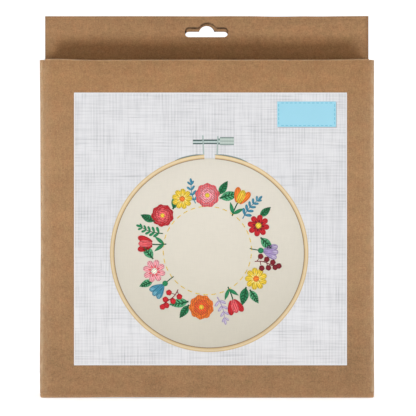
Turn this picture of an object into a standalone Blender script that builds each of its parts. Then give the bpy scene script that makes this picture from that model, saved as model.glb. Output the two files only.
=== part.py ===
"""Hanging craft-kit carton in kraft micro-flute board.

A shallow upright box with a two-ply header above its back, a euro slot through
both plies, a tuck lid creased from the front panel, and a square paper label
glued on the front.  It stands on its bottom: X is the width, +Y the back, +Z up,
and the origin is the middle of the bottom of the carton's bounding box.
"""

import math

import bmesh
import bpy
from mathutils import Vector

MM = 0.001

# Driving dimensions of the carton.
CARTON_WIDTH = 190.0 * MM
CARTON_DEPTH = 34.0 * MM
CARTON_HEIGHT = 192.8 * MM
HEADER_TOP = 220.4 * MM
HEADER_WIDTH = 189.6 * MM
BOARD = 1.2 * MM
GAP = 0.3 * MM

# Creases: outer radius of the board where it is folded, and the straight lead past the bend.
UPRIGHT_FOLD = 2.8 * MM
BOTTOM_FOLD = 2.8 * MM
FLAP_FOLD = 1.5 * MM
TUCK_FOLD = 1.8 * MM
FOLD_LEAD = 0.5 * MM
FOLD_STEPS = 6

# Flaps.
TUCK_LENGTH = 12.5 * MM
TUCK_SIDE_CLEARANCE = 1.6 * MM
TUCK_INWARD_SLANT = math.radians(12.0)
TUCK_TO_BACK = 0.55 * MM
BOTTOM_TUCK_TO_BACK = 0.35 * MM
DUST_FLAP_LENGTH = 32.0 * MM
DUST_FLAP_REAR_Y = 9.0 * MM
FLAP_CORNER_RADIUS = 6.0 * MM
FLAP_CORNER_STEPS = 4

# Euro slot, the same die in both header plies.
SLOT_WIDTH = 25.2 * MM
SLOT_BAND = 5.8 * MM
SLOT_BOTTOM_Z = 208.2 * MM
SLOT_END_RADIUS = 2.3 * MM
BUMP_RADIUS = 5.3 * MM
BUMP_RISE = 2.8 * MM
REAR_SLOT_DROP = 2.3 * MM
ARC_STEPS = 8

# Front label: a square sheet, a little right of the middle.
LABEL_WIDTH = 155.2 * MM
LABEL_HEIGHT = 155.1 * MM
LABEL_THICKNESS = 0.2 * MM
LABEL_X = 2.0 * MM
LABEL_Z = 96.1 * MM

# Planes worked out from the sizes above.
TOTAL_DEPTH = CARTON_DEPTH + GAP + LABEL_THICKNESS
BACK_Y = TOTAL_DEPTH / 2
FRONT_Y = BACK_Y - CARTON_DEPTH
SIDE_X = CARTON_WIDTH / 2
INNER_PLY_BACK_Y = BACK_Y - BOARD - GAP
INNER_PLY_FRONT_Y = INNER_PLY_BACK_Y - BOARD
LID_UNDERSIDE_Z = CARTON_HEIGHT - BOARD
FRONT_TOP_Z = LID_UNDERSIDE_Z - GAP
DUST_TOP_Z = LID_UNDERSIDE_Z - GAP
SIDE_TOP_Z = DUST_TOP_Z - FLAP_FOLD - FOLD_LEAD - GAP
DUST_UNDERSIDE_Z = BOARD + GAP
WRAP_BOTTOM_Z = max(BOTTOM_FOLD, DUST_UNDERSIDE_Z + FLAP_FOLD) + FOLD_LEAD + GAP
RETURN_X = SIDE_X - UPRIGHT_FOLD - FOLD_LEAD
BACK_PANEL_HALF_WIDTH = RETURN_X - GAP
LID_HALF_WIDTH = SIDE_X - UPRIGHT_FOLD - GAP
TUCK_HALF_WIDTH = LID_HALF_WIDTH - TUCK_SIDE_CLEARANCE
BOTTOM_HALF_WIDTH = SIDE_X - GAP
DUST_FLAP_FRONT_Y = FRONT_Y + max(UPRIGHT_FOLD, BOTTOM_FOLD) + GAP

# Axes along which a profile is extruded.
ALONG_X, ALONG_Y, ALONG_Z = 0, 1, 2

# How far a cutter reaches past what it cuts.
CUTTER_MARGIN = 5.0 * MM

# Colours in linear light, from the outer liner and the label's paper.
KRAFT_COLOUR = (0.39, 0.22, 0.107, 1.0)
KRAFT_ROUGHNESS = 0.85
LABEL_COLOUR = (0.74, 0.74, 0.76, 1.0)
LABEL_ROUGHNESS = 0.55


def clear_scene():
    """Remove every object and make the two collections the carton uses."""
    for old in list(bpy.data.objects):
        bpy.data.objects.remove(old, do_unlink=True)
    carton = bpy.data.collections.new("hanging_carton")
    cutters = bpy.data.collections.new("cutters")
    for collection in (carton, cutters):
        bpy.context.scene.collection.children.link(collection)
    return carton, cutters


def make_material(name, colour, roughness):
    """A plain Principled material with one colour."""
    material = bpy.data.materials.new(name)
    material.use_nodes = True
    shader = material.node_tree.nodes["Principled BSDF"]
    shader.inputs["Base Color"].default_value = colour
    shader.inputs["Roughness"].default_value = roughness
    shader.inputs["Metallic"].default_value = 0.0
    return material


def arc(centre, radius, start, end, steps):
    """Points of a circular arc from angle start to angle end, both included."""
    angles = [start + (end - start) * step / steps for step in range(steps + 1)]
    return [
        (centre[0] + radius * math.cos(angle), centre[1] + radius * math.sin(angle))
        for angle in angles
    ]


def folded_sheet(name, profile, axis, low, high, material, collection, round_ends=()):
    """A creased sheet: its outer face follows a profile, and the board is inside.

    profile is a list of 2D points on the outer face, in the plane across axis (0,
    1 or 2 for X, Y or Z), and it is extruded along that axis from low to high.
    The face looks along (profile direction) x (axis), and Solidify adds the board
    behind it.  round_ends names the profile's ends, 0 or -1, whose two corners
    are rounded.
    """
    sheet = bmesh.new()
    sweep = Vector((0.0, 0.0, 0.0))
    sweep[axis] = high - low
    line = [sheet.verts.new((*point[:axis], low, *point[axis:])) for point in profile]
    edges = [sheet.edges.new(pair) for pair in zip(line, line[1:])]
    swept = bmesh.ops.extrude_edge_only(sheet, edges=edges)["geom"]
    far_line = [item for item in swept if isinstance(item, bmesh.types.BMVert)]
    bmesh.ops.translate(sheet, verts=far_line, vec=sweep)
    sheet.normal_update()
    outward = (line[1].co - line[0].co).cross(sweep)
    if edges[0].link_faces[0].normal.dot(outward) < 0.0:
        bmesh.ops.reverse_faces(sheet, faces=sheet.faces[:])
    corners = []
    for end in round_ends:
        near = line[end]
        far = min(far_line, key=lambda vert: (vert.co - near.co).length)
        corners += [near, far]
    if corners:
        bmesh.ops.bevel(
            sheet,
            geom=corners,
            offset=FLAP_CORNER_RADIUS,
            segments=FLAP_CORNER_STEPS,
            profile=0.5,
            affect="VERTICES",
            clamp_overlap=True,
        )
    mesh = bpy.data.meshes.new(name)
    sheet.to_mesh(mesh)
    sheet.free()
    board = bpy.data.objects.new(name, mesh)
    collection.objects.link(board)
    mesh.materials.append(material)
    solidify = board.modifiers.new("board", "SOLIDIFY")
    solidify.thickness = BOARD
    solidify.offset = -1.0
    solidify.use_even_offset = True
    return board


def flat_board(name, outline, hole, middle_y, material, collection):
    """An upright flat board: an outline and a hole in X and Z, filled and extruded."""
    curve = bpy.data.curves.new(name, "CURVE")
    curve.dimensions = "2D"
    curve.fill_mode = "BOTH"
    curve.extrude = BOARD / 2
    for points in (outline, hole):
        spline = curve.splines.new("POLY")
        spline.points.add(len(points) - 1)
        for slot, (x, z) in zip(spline.points, points):
            slot.co = (x, z, 0.0, 1.0)
        spline.use_cyclic_u = True
    curve.materials.append(material)
    board = bpy.data.objects.new(name, curve)
    board.location = (0.0, middle_y, 0.0)
    board.rotation_euler = (math.pi / 2, 0.0, 0.0)
    collection.objects.link(board)
    return board


def box(name, low, high, collection):
    """A box between two corners, made from a cube with its scale applied."""
    bpy.ops.mesh.primitive_cube_add(size=1.0)
    cube = bpy.context.active_object
    cube.name = name
    cube.data.name = name
    for vertex in cube.data.vertices:
        vertex.co = [
            low[axis] + (vertex.co[axis] + 0.5) * (high[axis] - low[axis]) for axis in range(3)
        ]
    for owner in list(cube.users_collection):
        owner.objects.unlink(cube)
    collection.objects.link(cube)
    return cube


def wrap_profile():
    """Plan of the wrap's outer face: rear-left return, side, front, side, rear-right return."""
    turn = math.pi / 2
    radius = UPRIGHT_FOLD
    left = -SIDE_X + radius
    right = SIDE_X - radius
    return (
        [(-RETURN_X, INNER_PLY_BACK_Y)]
        + arc((left, INNER_PLY_BACK_Y - radius), radius, turn, 2 * turn, FOLD_STEPS)
        + arc((left, FRONT_Y + radius), radius, 2 * turn, 3 * turn, FOLD_STEPS)
        + arc((right, FRONT_Y + radius), radius, 3 * turn, 4 * turn, FOLD_STEPS)
        + arc((right, BACK_Y - radius), radius, 0.0, turn, FOLD_STEPS)
        + [(RETURN_X, BACK_Y)]
    )


def make_wrap(material, collection, cutters):
    """Front and sides in one sheet.

    Behind the rounded front corners the sides end lower, where the dust flaps fold.
    """
    wrap = folded_sheet(
        "carton_wrap",
        wrap_profile(),
        ALONG_Z,
        WRAP_BOTTOM_Z,
        FRONT_TOP_Z,
        material,
        collection,
    )
    inner_x = BACK_PANEL_HALF_WIDTH
    for side, sign in (("left", -1), ("right", 1)):
        edges = sorted((sign * inner_x, sign * (SIDE_X + CUTTER_MARGIN)))
        cutter = box(
            "cutter_side_top_" + side,
            (edges[0], FRONT_Y + UPRIGHT_FOLD, SIDE_TOP_Z),
            (edges[1], BACK_Y + CUTTER_MARGIN, FRONT_TOP_Z + CUTTER_MARGIN),
            cutters,
        )
        cutter.hide_render = True
        cutter.display_type = "WIRE"
        cut = wrap.modifiers.new("lower_" + side, "BOOLEAN")
        cut.operation = "DIFFERENCE"
        cut.object = cutter
    return wrap


def euro_slot(bottom_z):
    """Outline of a euro slot: a flat band with rounded ends and a round bump on top."""
    half = SLOT_WIDTH / 2
    end = SLOT_END_RADIUS
    shoulder_z = bottom_z + SLOT_BAND
    turn = math.pi / 2
    bump_centre_z = shoulder_z + BUMP_RISE - BUMP_RADIUS
    bump_start = math.asin((BUMP_RADIUS - BUMP_RISE) / BUMP_RADIUS)
    return (
        arc((half - end, bottom_z + end), end, -turn, 0.0, ARC_STEPS)
        + arc((half - end, shoulder_z - end), end, 0.0, turn, ARC_STEPS)
        + arc((0.0, bump_centre_z), BUMP_RADIUS, bump_start, math.pi - bump_start, 2 * ARC_STEPS)
        + arc((end - half, shoulder_z - end), end, turn, 2 * turn, ARC_STEPS)
        + arc((end - half, bottom_z + end), end, 2 * turn, 3 * turn, ARC_STEPS)
    )


def make_back_panels(material, collection):
    """Two back panels, one behind the other, whose tops are the header's two plies."""
    shoulder_z = SIDE_TOP_Z + GAP
    body = BACK_PANEL_HALF_WIDTH
    head = HEADER_WIDTH / 2
    outline = [
        (-body, 0.0),
        (body, 0.0),
        (body, shoulder_z),
        (head, shoulder_z),
        (head, HEADER_TOP),
        (-head, HEADER_TOP),
        (-head, shoulder_z),
        (-body, shoulder_z),
    ]
    plies = (
        ("back_panel_inner", INNER_PLY_FRONT_Y + BOARD / 2, SLOT_BOTTOM_Z),
        ("back_panel_outer", BACK_Y - BOARD / 2, SLOT_BOTTOM_Z - REAR_SLOT_DROP),
    )
    for name, middle_y, slot_z in plies:
        flat_board(name, outline, euro_slot(slot_z), middle_y, material, collection)


def make_lid(material, collection):
    """Top lid, and the tuck flap that bends down, a little inwards, behind its rear crease.

    The lid is as wide as the flat of the front panel, between the rounded corners.
    Both hang on an empty on the lid's crease: the lid turns there about X.
    """
    hinge = bpy.data.objects.new("lid_hinge", None)
    hinge.location = (0.0, FRONT_Y, (FRONT_TOP_Z + LID_UNDERSIDE_Z) / 2)
    collection.objects.link(hinge)
    turn = math.pi / 2
    tuck_outer_y = INNER_PLY_FRONT_Y - TUCK_TO_BACK
    crease = (tuck_outer_y - TUCK_FOLD, CARTON_HEIGHT - TUCK_FOLD)
    lowest = -TUCK_INWARD_SLANT
    bend = arc(crease, TUCK_FOLD, lowest, turn, FOLD_STEPS + 1)
    tip = (
        bend[0][0] - TUCK_LENGTH * math.sin(TUCK_INWARD_SLANT),
        bend[0][1] - TUCK_LENGTH * math.cos(TUCK_INWARD_SLANT),
    )
    lead_y = crease[0] - FOLD_LEAD
    tuck = folded_sheet(
        "top_tuck_flap",
        [tip] + bend + [(lead_y, CARTON_HEIGHT)],
        ALONG_X,
        -TUCK_HALF_WIDTH,
        TUCK_HALF_WIDTH,
        material,
        collection,
        round_ends=(0,),
    )
    lid = folded_sheet(
        "top_lid",
        [(lead_y - GAP, CARTON_HEIGHT), (FRONT_Y + GAP, CARTON_HEIGHT)],
        ALONG_X,
        -LID_HALF_WIDTH,
        LID_HALF_WIDTH,
        material,
        collection,
    )
    for flap in (lid, tuck):
        flap.parent = hinge
        flap.location = -hinge.location


def make_bottom(material, collection):
    """Bottom panel with its rounded front fold, and the tuck flap glued inside the back."""
    turn = math.pi / 2
    tuck_outer_y = INNER_PLY_FRONT_Y - BOTTOM_TUCK_TO_BACK
    crease_y = tuck_outer_y - TUCK_FOLD
    lead_y = crease_y - FOLD_LEAD
    fold = [(FRONT_Y, BOTTOM_FOLD + FOLD_LEAD)]
    fold += arc((FRONT_Y + BOTTOM_FOLD, BOTTOM_FOLD), BOTTOM_FOLD, 2 * turn, 3 * turn, FOLD_STEPS)
    folded_sheet(
        "bottom_panel",
        fold + [(lead_y - GAP, 0.0)],
        ALONG_X,
        -BOTTOM_HALF_WIDTH,
        BOTTOM_HALF_WIDTH,
        material,
        collection,
    )
    bend = arc((crease_y, TUCK_FOLD), TUCK_FOLD, -turn, 0.0, FOLD_STEPS)
    folded_sheet(
        "bottom_tuck_flap",
        [(lead_y, 0.0)] + bend + [(tuck_outer_y, TUCK_FOLD + TUCK_LENGTH)],
        ALONG_X,
        -TUCK_HALF_WIDTH,
        TUCK_HALF_WIDTH,
        material,
        collection,
        round_ends=(-1,),
    )


def make_dust_flaps(material, collection):
    """Four dust flaps, each folded in from the top or bottom of a side."""
    turn = math.pi / 2
    radius = FLAP_FOLD
    tip_x = -SIDE_X + DUST_FLAP_LENGTH
    crease_x = -SIDE_X + radius
    top = [(-SIDE_X, SIDE_TOP_Z + GAP)]
    top += arc((crease_x, DUST_TOP_Z - radius), radius, 2 * turn, turn, FOLD_STEPS)
    top.append((tip_x, DUST_TOP_Z))
    bottom = [(tip_x, DUST_UNDERSIDE_Z)]
    bottom += arc((crease_x, DUST_UNDERSIDE_Z + radius), radius, 3 * turn, 2 * turn, FOLD_STEPS)
    bottom.append((-SIDE_X, WRAP_BOTTOM_Z - GAP))
    for level, profile, free_end in (("top", top, -1), ("bottom", bottom, 0)):
        mirrored = [(-x, z) for x, z in reversed(profile)]
        sides = (("left", profile, free_end), ("right", mirrored, -1 - free_end))
        for side, points, end in sides:
            folded_sheet(
                level + "_dust_flap_" + side,
                points,
                ALONG_Y,
                DUST_FLAP_FRONT_Y,
                DUST_FLAP_REAR_Y,
                material,
                collection,
                round_ends=(end,),
            )


def make_label(material, collection):
    """The square paper label on the front panel."""
    outer_y = FRONT_Y - GAP - LABEL_THICKNESS
    label = box(
        "front_label",
        (LABEL_X - LABEL_WIDTH / 2, outer_y, LABEL_Z - LABEL_HEIGHT / 2),
        (LABEL_X + LABEL_WIDTH / 2, FRONT_Y - GAP, LABEL_Z + LABEL_HEIGHT / 2),
        collection,
    )
    label.data.materials.append(material)


def main():
    """Build the whole carton."""
    carton, cutters = clear_scene()
    kraft = make_material("kraft_board", KRAFT_COLOUR, KRAFT_ROUGHNESS)
    paper = make_material("label_paper", LABEL_COLOUR, LABEL_ROUGHNESS)
    make_wrap(kraft, carton, cutters)
    make_back_panels(kraft, carton)
    make_lid(kraft, carton)
    make_bottom(kraft, carton)
    make_dust_flaps(kraft, carton)
    make_label(paper, carton)


main()
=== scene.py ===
"""Looks of the hanging craft-kit carton: kraft micro-flute board, a two-ply header and a printed label.

Every shape is worked out in millimetres with numpy, in the CAD's frame: +X to the right as the
label is read, +Y from the label to the back, +Z up to the header. The board pieces are grids of
two parameters, one across the flutes and one along them. The label's picture is printed in ink
films, at most 0.15 mm off the paper, of which the later ones stand a little prouder.
"""

from __future__ import annotations

import logging
import math
from dataclasses import dataclass, field
from enum import Enum, IntEnum
from typing import Callable, Sequence

import bpy
import numpy as np
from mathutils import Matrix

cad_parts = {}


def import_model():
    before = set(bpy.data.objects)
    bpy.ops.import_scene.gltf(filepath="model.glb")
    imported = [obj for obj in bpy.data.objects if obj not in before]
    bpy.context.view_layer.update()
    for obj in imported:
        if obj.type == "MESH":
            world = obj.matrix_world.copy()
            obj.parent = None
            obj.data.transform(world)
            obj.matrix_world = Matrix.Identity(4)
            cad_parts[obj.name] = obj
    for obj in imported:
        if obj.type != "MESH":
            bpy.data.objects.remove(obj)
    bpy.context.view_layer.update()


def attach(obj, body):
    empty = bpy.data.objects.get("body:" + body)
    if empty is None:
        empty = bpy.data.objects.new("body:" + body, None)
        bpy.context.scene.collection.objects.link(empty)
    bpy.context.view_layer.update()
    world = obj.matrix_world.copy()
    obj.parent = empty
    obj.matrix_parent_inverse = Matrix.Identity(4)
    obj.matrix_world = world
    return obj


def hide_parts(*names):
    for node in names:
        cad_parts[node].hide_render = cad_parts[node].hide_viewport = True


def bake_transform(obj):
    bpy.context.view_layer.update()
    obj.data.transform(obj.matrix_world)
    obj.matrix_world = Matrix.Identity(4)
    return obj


LOG = logging.getLogger("hanging_carton")

Array = np.ndarray
Socket = bpy.types.NodeSocket
Material = bpy.types.Material
Piece = bpy.types.Object
Pair = tuple[float, float]
Colour = tuple[float, float, float]
Run = tuple[np.ndarray, np.ndarray]
Reshape = Callable[[np.ndarray], np.ndarray]

MM = 0.001
FRAME_PIXELS = 416
SENSOR_MM = 36.0

# Planes and sizes that the board pieces share, in millimetres, as the CAD has them.
SIDE_X = 95.0
FRONT_Y = -16.75
INNER_PLY_Y = 15.75
BACK_Y = 17.25
PLIES_FROM_Y = 13.0
REAR_PLY_FROM_Y = 16.0
BOARD = 1.2
UPRIGHT_FOLD = 2.8
FLUTE_PITCH = 2.4
LID_TOP_Z = 192.8
HEADER_TOP_Z = 220.4
HEADER_HALF_WIDTH = 94.8
HEADER_SHIFT_X = -0.19
PANEL_HALF_WIDTH = 91.4
SEAM_X = 92.05
FRONT_SEAM_LOW_Z = 8.0
FRONT_SEAM_HIGH_Z = 188.4
SIDE_LOW_Z = 3.6
SIDE_HIGH_Z = 189.15
SLIT_TOP_Z = 189.3
CORNER_TOP_Z = 192.3


def linear(red: float, green: float, blue: float) -> Colour:
    """Turn a display colour of 0 to 255 into linear light."""
    shares = np.array((red, green, blue)) / 255.0
    return tuple(np.where(shares <= 0.04045, shares / 12.92, ((shares + 0.055) / 1.055) ** 2.4).tolist())


def smooth(share: Array) -> Array:
    """Ease a share of 0 to 1 in and out: three times its square less twice its cube."""
    share = np.clip(share, 0.0, 1.0)
    return share * share * (3.0 - 2.0 * share)


def half_wave(distance: Array, length: float) -> Array:
    """Half a sine wave that rises from nothing at 0, peaks midway and ends at the length."""
    return np.sin(np.pi * np.clip(distance / length, 0.0, 1.0))


def unit(vectors: Array) -> Array:
    """The same directions, each of length 1."""
    return vectors / np.maximum(np.linalg.norm(vectors, axis=-1, keepdims=True), 1e-9)


def travelled(points: Array) -> Array:
    """Distance along a line of points, from its first one to each."""
    return np.concatenate([[0.0], np.cumsum(np.linalg.norm(np.diff(points, axis=0), axis=1))])


def polar(degrees: Array | float) -> Array:
    """Directions at angles in degrees from +x, each as its cosine and sine."""
    return np.stack([np.cos(np.radians(degrees)), np.sin(np.radians(degrees))], -1)


def fold_tail(x: Array) -> Array:
    """Share of an upright fold's pale crease that runs onto the front over 4.6 mm, partly real crease wear
    and partly a painted highlight, which is stronger at the left fold.
    """
    return np.where(x < 0, 0.44, 0.2) * np.clip((np.abs(x) - SEAM_X + 4.4) / 4.6, 0.0, 1.0) ** 1.3


# -------------------- mesh data


@dataclass
class MeshParts:
    """Faces and point marks of one closed piece before it becomes a mesh.

    Args:
        points: one row of x, y, z in millimetres for each point.
        quads: four point numbers a face, turned outwards.
        marks: point attributes by name, one number or one colour a point.
        triangles: three point numbers a face, turned outwards.
        hard: which quads keep a hard edge all round, or None for all of them.
    """

    points: Array
    quads: Array
    marks: dict[str, Array]
    triangles: Array = field(default_factory=lambda: np.zeros((0, 3), int))
    hard: Array | None = None

    def __post_init__(self) -> None:
        """Take every quad as hard where nothing else is said."""
        self.hard = np.ones(len(self.quads), bool) if self.hard is None else self.hard

    def pruned(self) -> MeshParts:
        """Drop the points that no face uses, and number the rest on.

        Returns:
            The same faces on fewer points.
        """
        used = np.unique(np.concatenate([self.quads.reshape(-1), self.triangles.reshape(-1)]))
        number = np.full(len(self.points), -1)
        number[used] = np.arange(len(used))
        marks = {name: values[used] for name, values in self.marks.items()}
        return MeshParts(self.points[used], number[self.quads], marks, number[self.triangles], self.hard)


def joined(parts: Sequence[MeshParts]) -> MeshParts:
    """Put several closed parts into one piece.

    Args:
        parts: the parts, each with the same marks.

    Returns:
        One MeshParts whose faces are numbered on.
    """
    starts = np.cumsum([0] + [len(p.points) for p in parts[:-1]])
    return MeshParts(
        np.concatenate([p.points for p in parts]),
        np.concatenate([p.quads + s for p, s in zip(parts, starts)]),
        {name: np.concatenate([p.marks[name] for p in parts]) for name in parts[0].marks},
        np.concatenate([p.triangles + s for p, s in zip(parts, starts)]),
        np.concatenate([p.hard for p in parts]),
    )


def linked(name: str, data: bpy.types.ID) -> Piece:
    """Make an object of a mesh, a light or a camera, and link it to the scene.

    Args:
        name: the object's name.
        data: what it shows.

    Returns:
        The object, at the origin.
    """
    made = bpy.data.objects.new(name, data)
    bpy.context.scene.collection.objects.link(made)
    return made


def made_object(name: str, parts: MeshParts, material: Material) -> Piece:
    """Make a mesh object at the origin from parts in millimetres.

    Args:
        name: the piece's name.
        parts: its points, faces and marks.
        material: its finish.

    Returns:
        The object, linked to the scene.
    """
    mesh = bpy.data.meshes.new(name)
    quads, triangles = parts.quads, parts.triangles
    corners = np.concatenate([quads.reshape(-1), triangles.reshape(-1)]).astype(np.int32)
    sizes = np.repeat(np.array([4, 3], np.int32), (len(quads), len(triangles)))
    mesh.vertices.add(len(parts.points))
    mesh.vertices.foreach_set("co", (parts.points * MM).astype(np.float32).reshape(-1))
    mesh.loops.add(len(corners))
    mesh.loops.foreach_set("vertex_index", corners)
    mesh.polygons.add(len(sizes))
    mesh.polygons.foreach_set("loop_start", (np.cumsum(sizes) - sizes).astype(np.int32))
    mesh.update(calc_edges=True)
    hard_faces = np.concatenate([parts.hard, np.zeros(len(triangles), bool)])
    mesh.attributes.new("sharp_face", "BOOLEAN", "FACE").data.foreach_set("value", hard_faces)
    mark_hard_edges(mesh, parts)
    for mark, values in parts.marks.items():
        if values.ndim == 1:
            layer = mesh.attributes.new(mark, "FLOAT", "POINT")
            layer.data.foreach_set("value", values.astype(np.float32))
        else:
            layer = mesh.attributes.new(mark, "FLOAT_COLOR", "POINT")
            rgba = np.concatenate([values, np.ones((len(values), 1))], axis=1)
            layer.data.foreach_set("color", rgba.astype(np.float32).reshape(-1))
    mesh.validate()
    mesh.materials.append(material)
    return linked(name, mesh)


def mark_hard_edges(mesh: bpy.types.Mesh, parts: MeshParts) -> None:
    """Mark each edge that a hard-edged quad touches, so that smooth faces beside it stay true.

    Args:
        mesh: the mesh, with its edges worked out.
        parts: the parts it was made from.
    """
    edge_of_corner = np.zeros(len(mesh.loops), np.int32)
    mesh.loops.foreach_get("edge_index", edge_of_corner)
    hard_corner = np.zeros(len(mesh.loops), bool)
    hard_corner[: 4 * len(parts.quads)] = np.repeat(parts.hard, 4)
    hard = np.zeros(len(mesh.edges), bool)
    hard[edge_of_corner[hard_corner]] = True
    mesh.attributes.new("sharp_edge", "BOOLEAN", "EDGE").data.foreach_set("value", hard)


# -------------------- runs of board


def arc(centre: Pair, radius: float, start: float, stop: float, count: int) -> Run:
    """Points on a circular bend, and the directions out of it.

    A point is the centre plus radius times (cosine, sine) of an angle that runs evenly.

    Args:
        centre: the bend's centre.
        radius: its outer radius.
        start: the first angle, in degrees.
        stop: the last angle.
        count: how many points.

    Returns:
        (points, directions), each of shape (count, 2).
    """
    angle = np.radians(np.linspace(start, stop, count))
    away = np.stack([np.cos(angle), np.sin(angle)], axis=-1)
    return np.array(centre) + radius * away, away


def line(start: Pair, stop: Pair, away: Pair, count: int, ease: float = 1.0) -> Run:
    """Points on a straight run that all face one way, drawn together towards its stop by ease."""
    # A point's share of the way is 1 less (1 less an even share) to the power ease.
    share = (1 - (1 - np.linspace(0.0, 1.0, count)) ** ease)[:, None]
    return np.array(start) * (1 - share) + np.array(stop) * share, np.tile(np.array(away, float), (count, 1))


def level_run(xs: Sequence[float], y: float, facing: float = 1.0) -> Run:
    """A run along x at one y that faces the back, or the front where facing is -1."""
    return np.stack([xs, np.full(len(xs), y)], -1), np.tile([0.0, facing], (len(xs), 1))


def chained(*runs: Run) -> Run:
    """Runs end to end, without the first point of each later run."""
    return tuple(np.concatenate([runs[0][k], *[run[k][1:] for run in runs[1:]]]) for k in range(2))


def settled(points: Array) -> Array:
    """Shift points as the real carton has settled.

    The sides bow by a table over height, fading out from 93 to 68 mm off the middle; the back plies
    swell by half a sine each way; the header leans by a sine over x that grows with height, and its
    plies part round the slot by a bell curve. The front stays flat.

    Args:
        points: points in millimetres, (..., 3).

    Returns:
        The shifted points, in a new array.
    """
    x, y, z = np.moveaxis(points, -1, 0)
    heights = (0.0, 4.5, 27.0, 56.0, 84.0, 112.0, 141.0, 169.0, 192.0)
    left = np.interp(z, heights, (-0.33, -0.31, -0.40, -0.12, 0.18, 0.02, -0.06, -0.17, -0.41))
    right = np.interp(z, heights, (0.41, 0.41, 0.33, 0.27, 0.26, 0.26, 0.26, 0.29, 0.34))
    bowed = np.where(x < 0, left, right) * smooth((np.abs(x) - 68.0) / 25.0)
    in_header = (z > SIDE_HIGH_Z + 0.1) & (y > PLIES_FROM_Y)
    swell = 0.22 * half_wave(x + SIDE_X, 2 * SIDE_X) * half_wave(z, SIDE_HIGH_Z)
    lean = np.where(in_header, 0.25 * np.sin(0.021 * x + 0.7) * smooth((z - 195.0) / 25.0), 0.0)
    parting = np.exp(-(((x + 2.0) / 34.0) ** 2)) * smooth((z - 193.0) / 17.0)
    parting = parting * np.where(y > REAR_PLY_FROM_Y, 0.08, -0.1)
    shift_x = np.where(in_header, HEADER_SHIFT_X, bowed)
    shift_y = smooth((y - PLIES_FROM_Y) / 1.5) * (swell + lean + parting)
    return points + np.stack([shift_x, shift_y, np.zeros_like(x)], axis=-1)


# -------------------- board


# The rim's inner bands: how deep each line lies in the board, and how far it dips in a cut edge.
RIM_SHARES = np.array([0.17, 0.23, 0.77, 0.83])[:, None, None]
RIM_DIPS = np.array([0.0, 0.42, 0.42, 0.0])[:, None, None]


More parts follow.
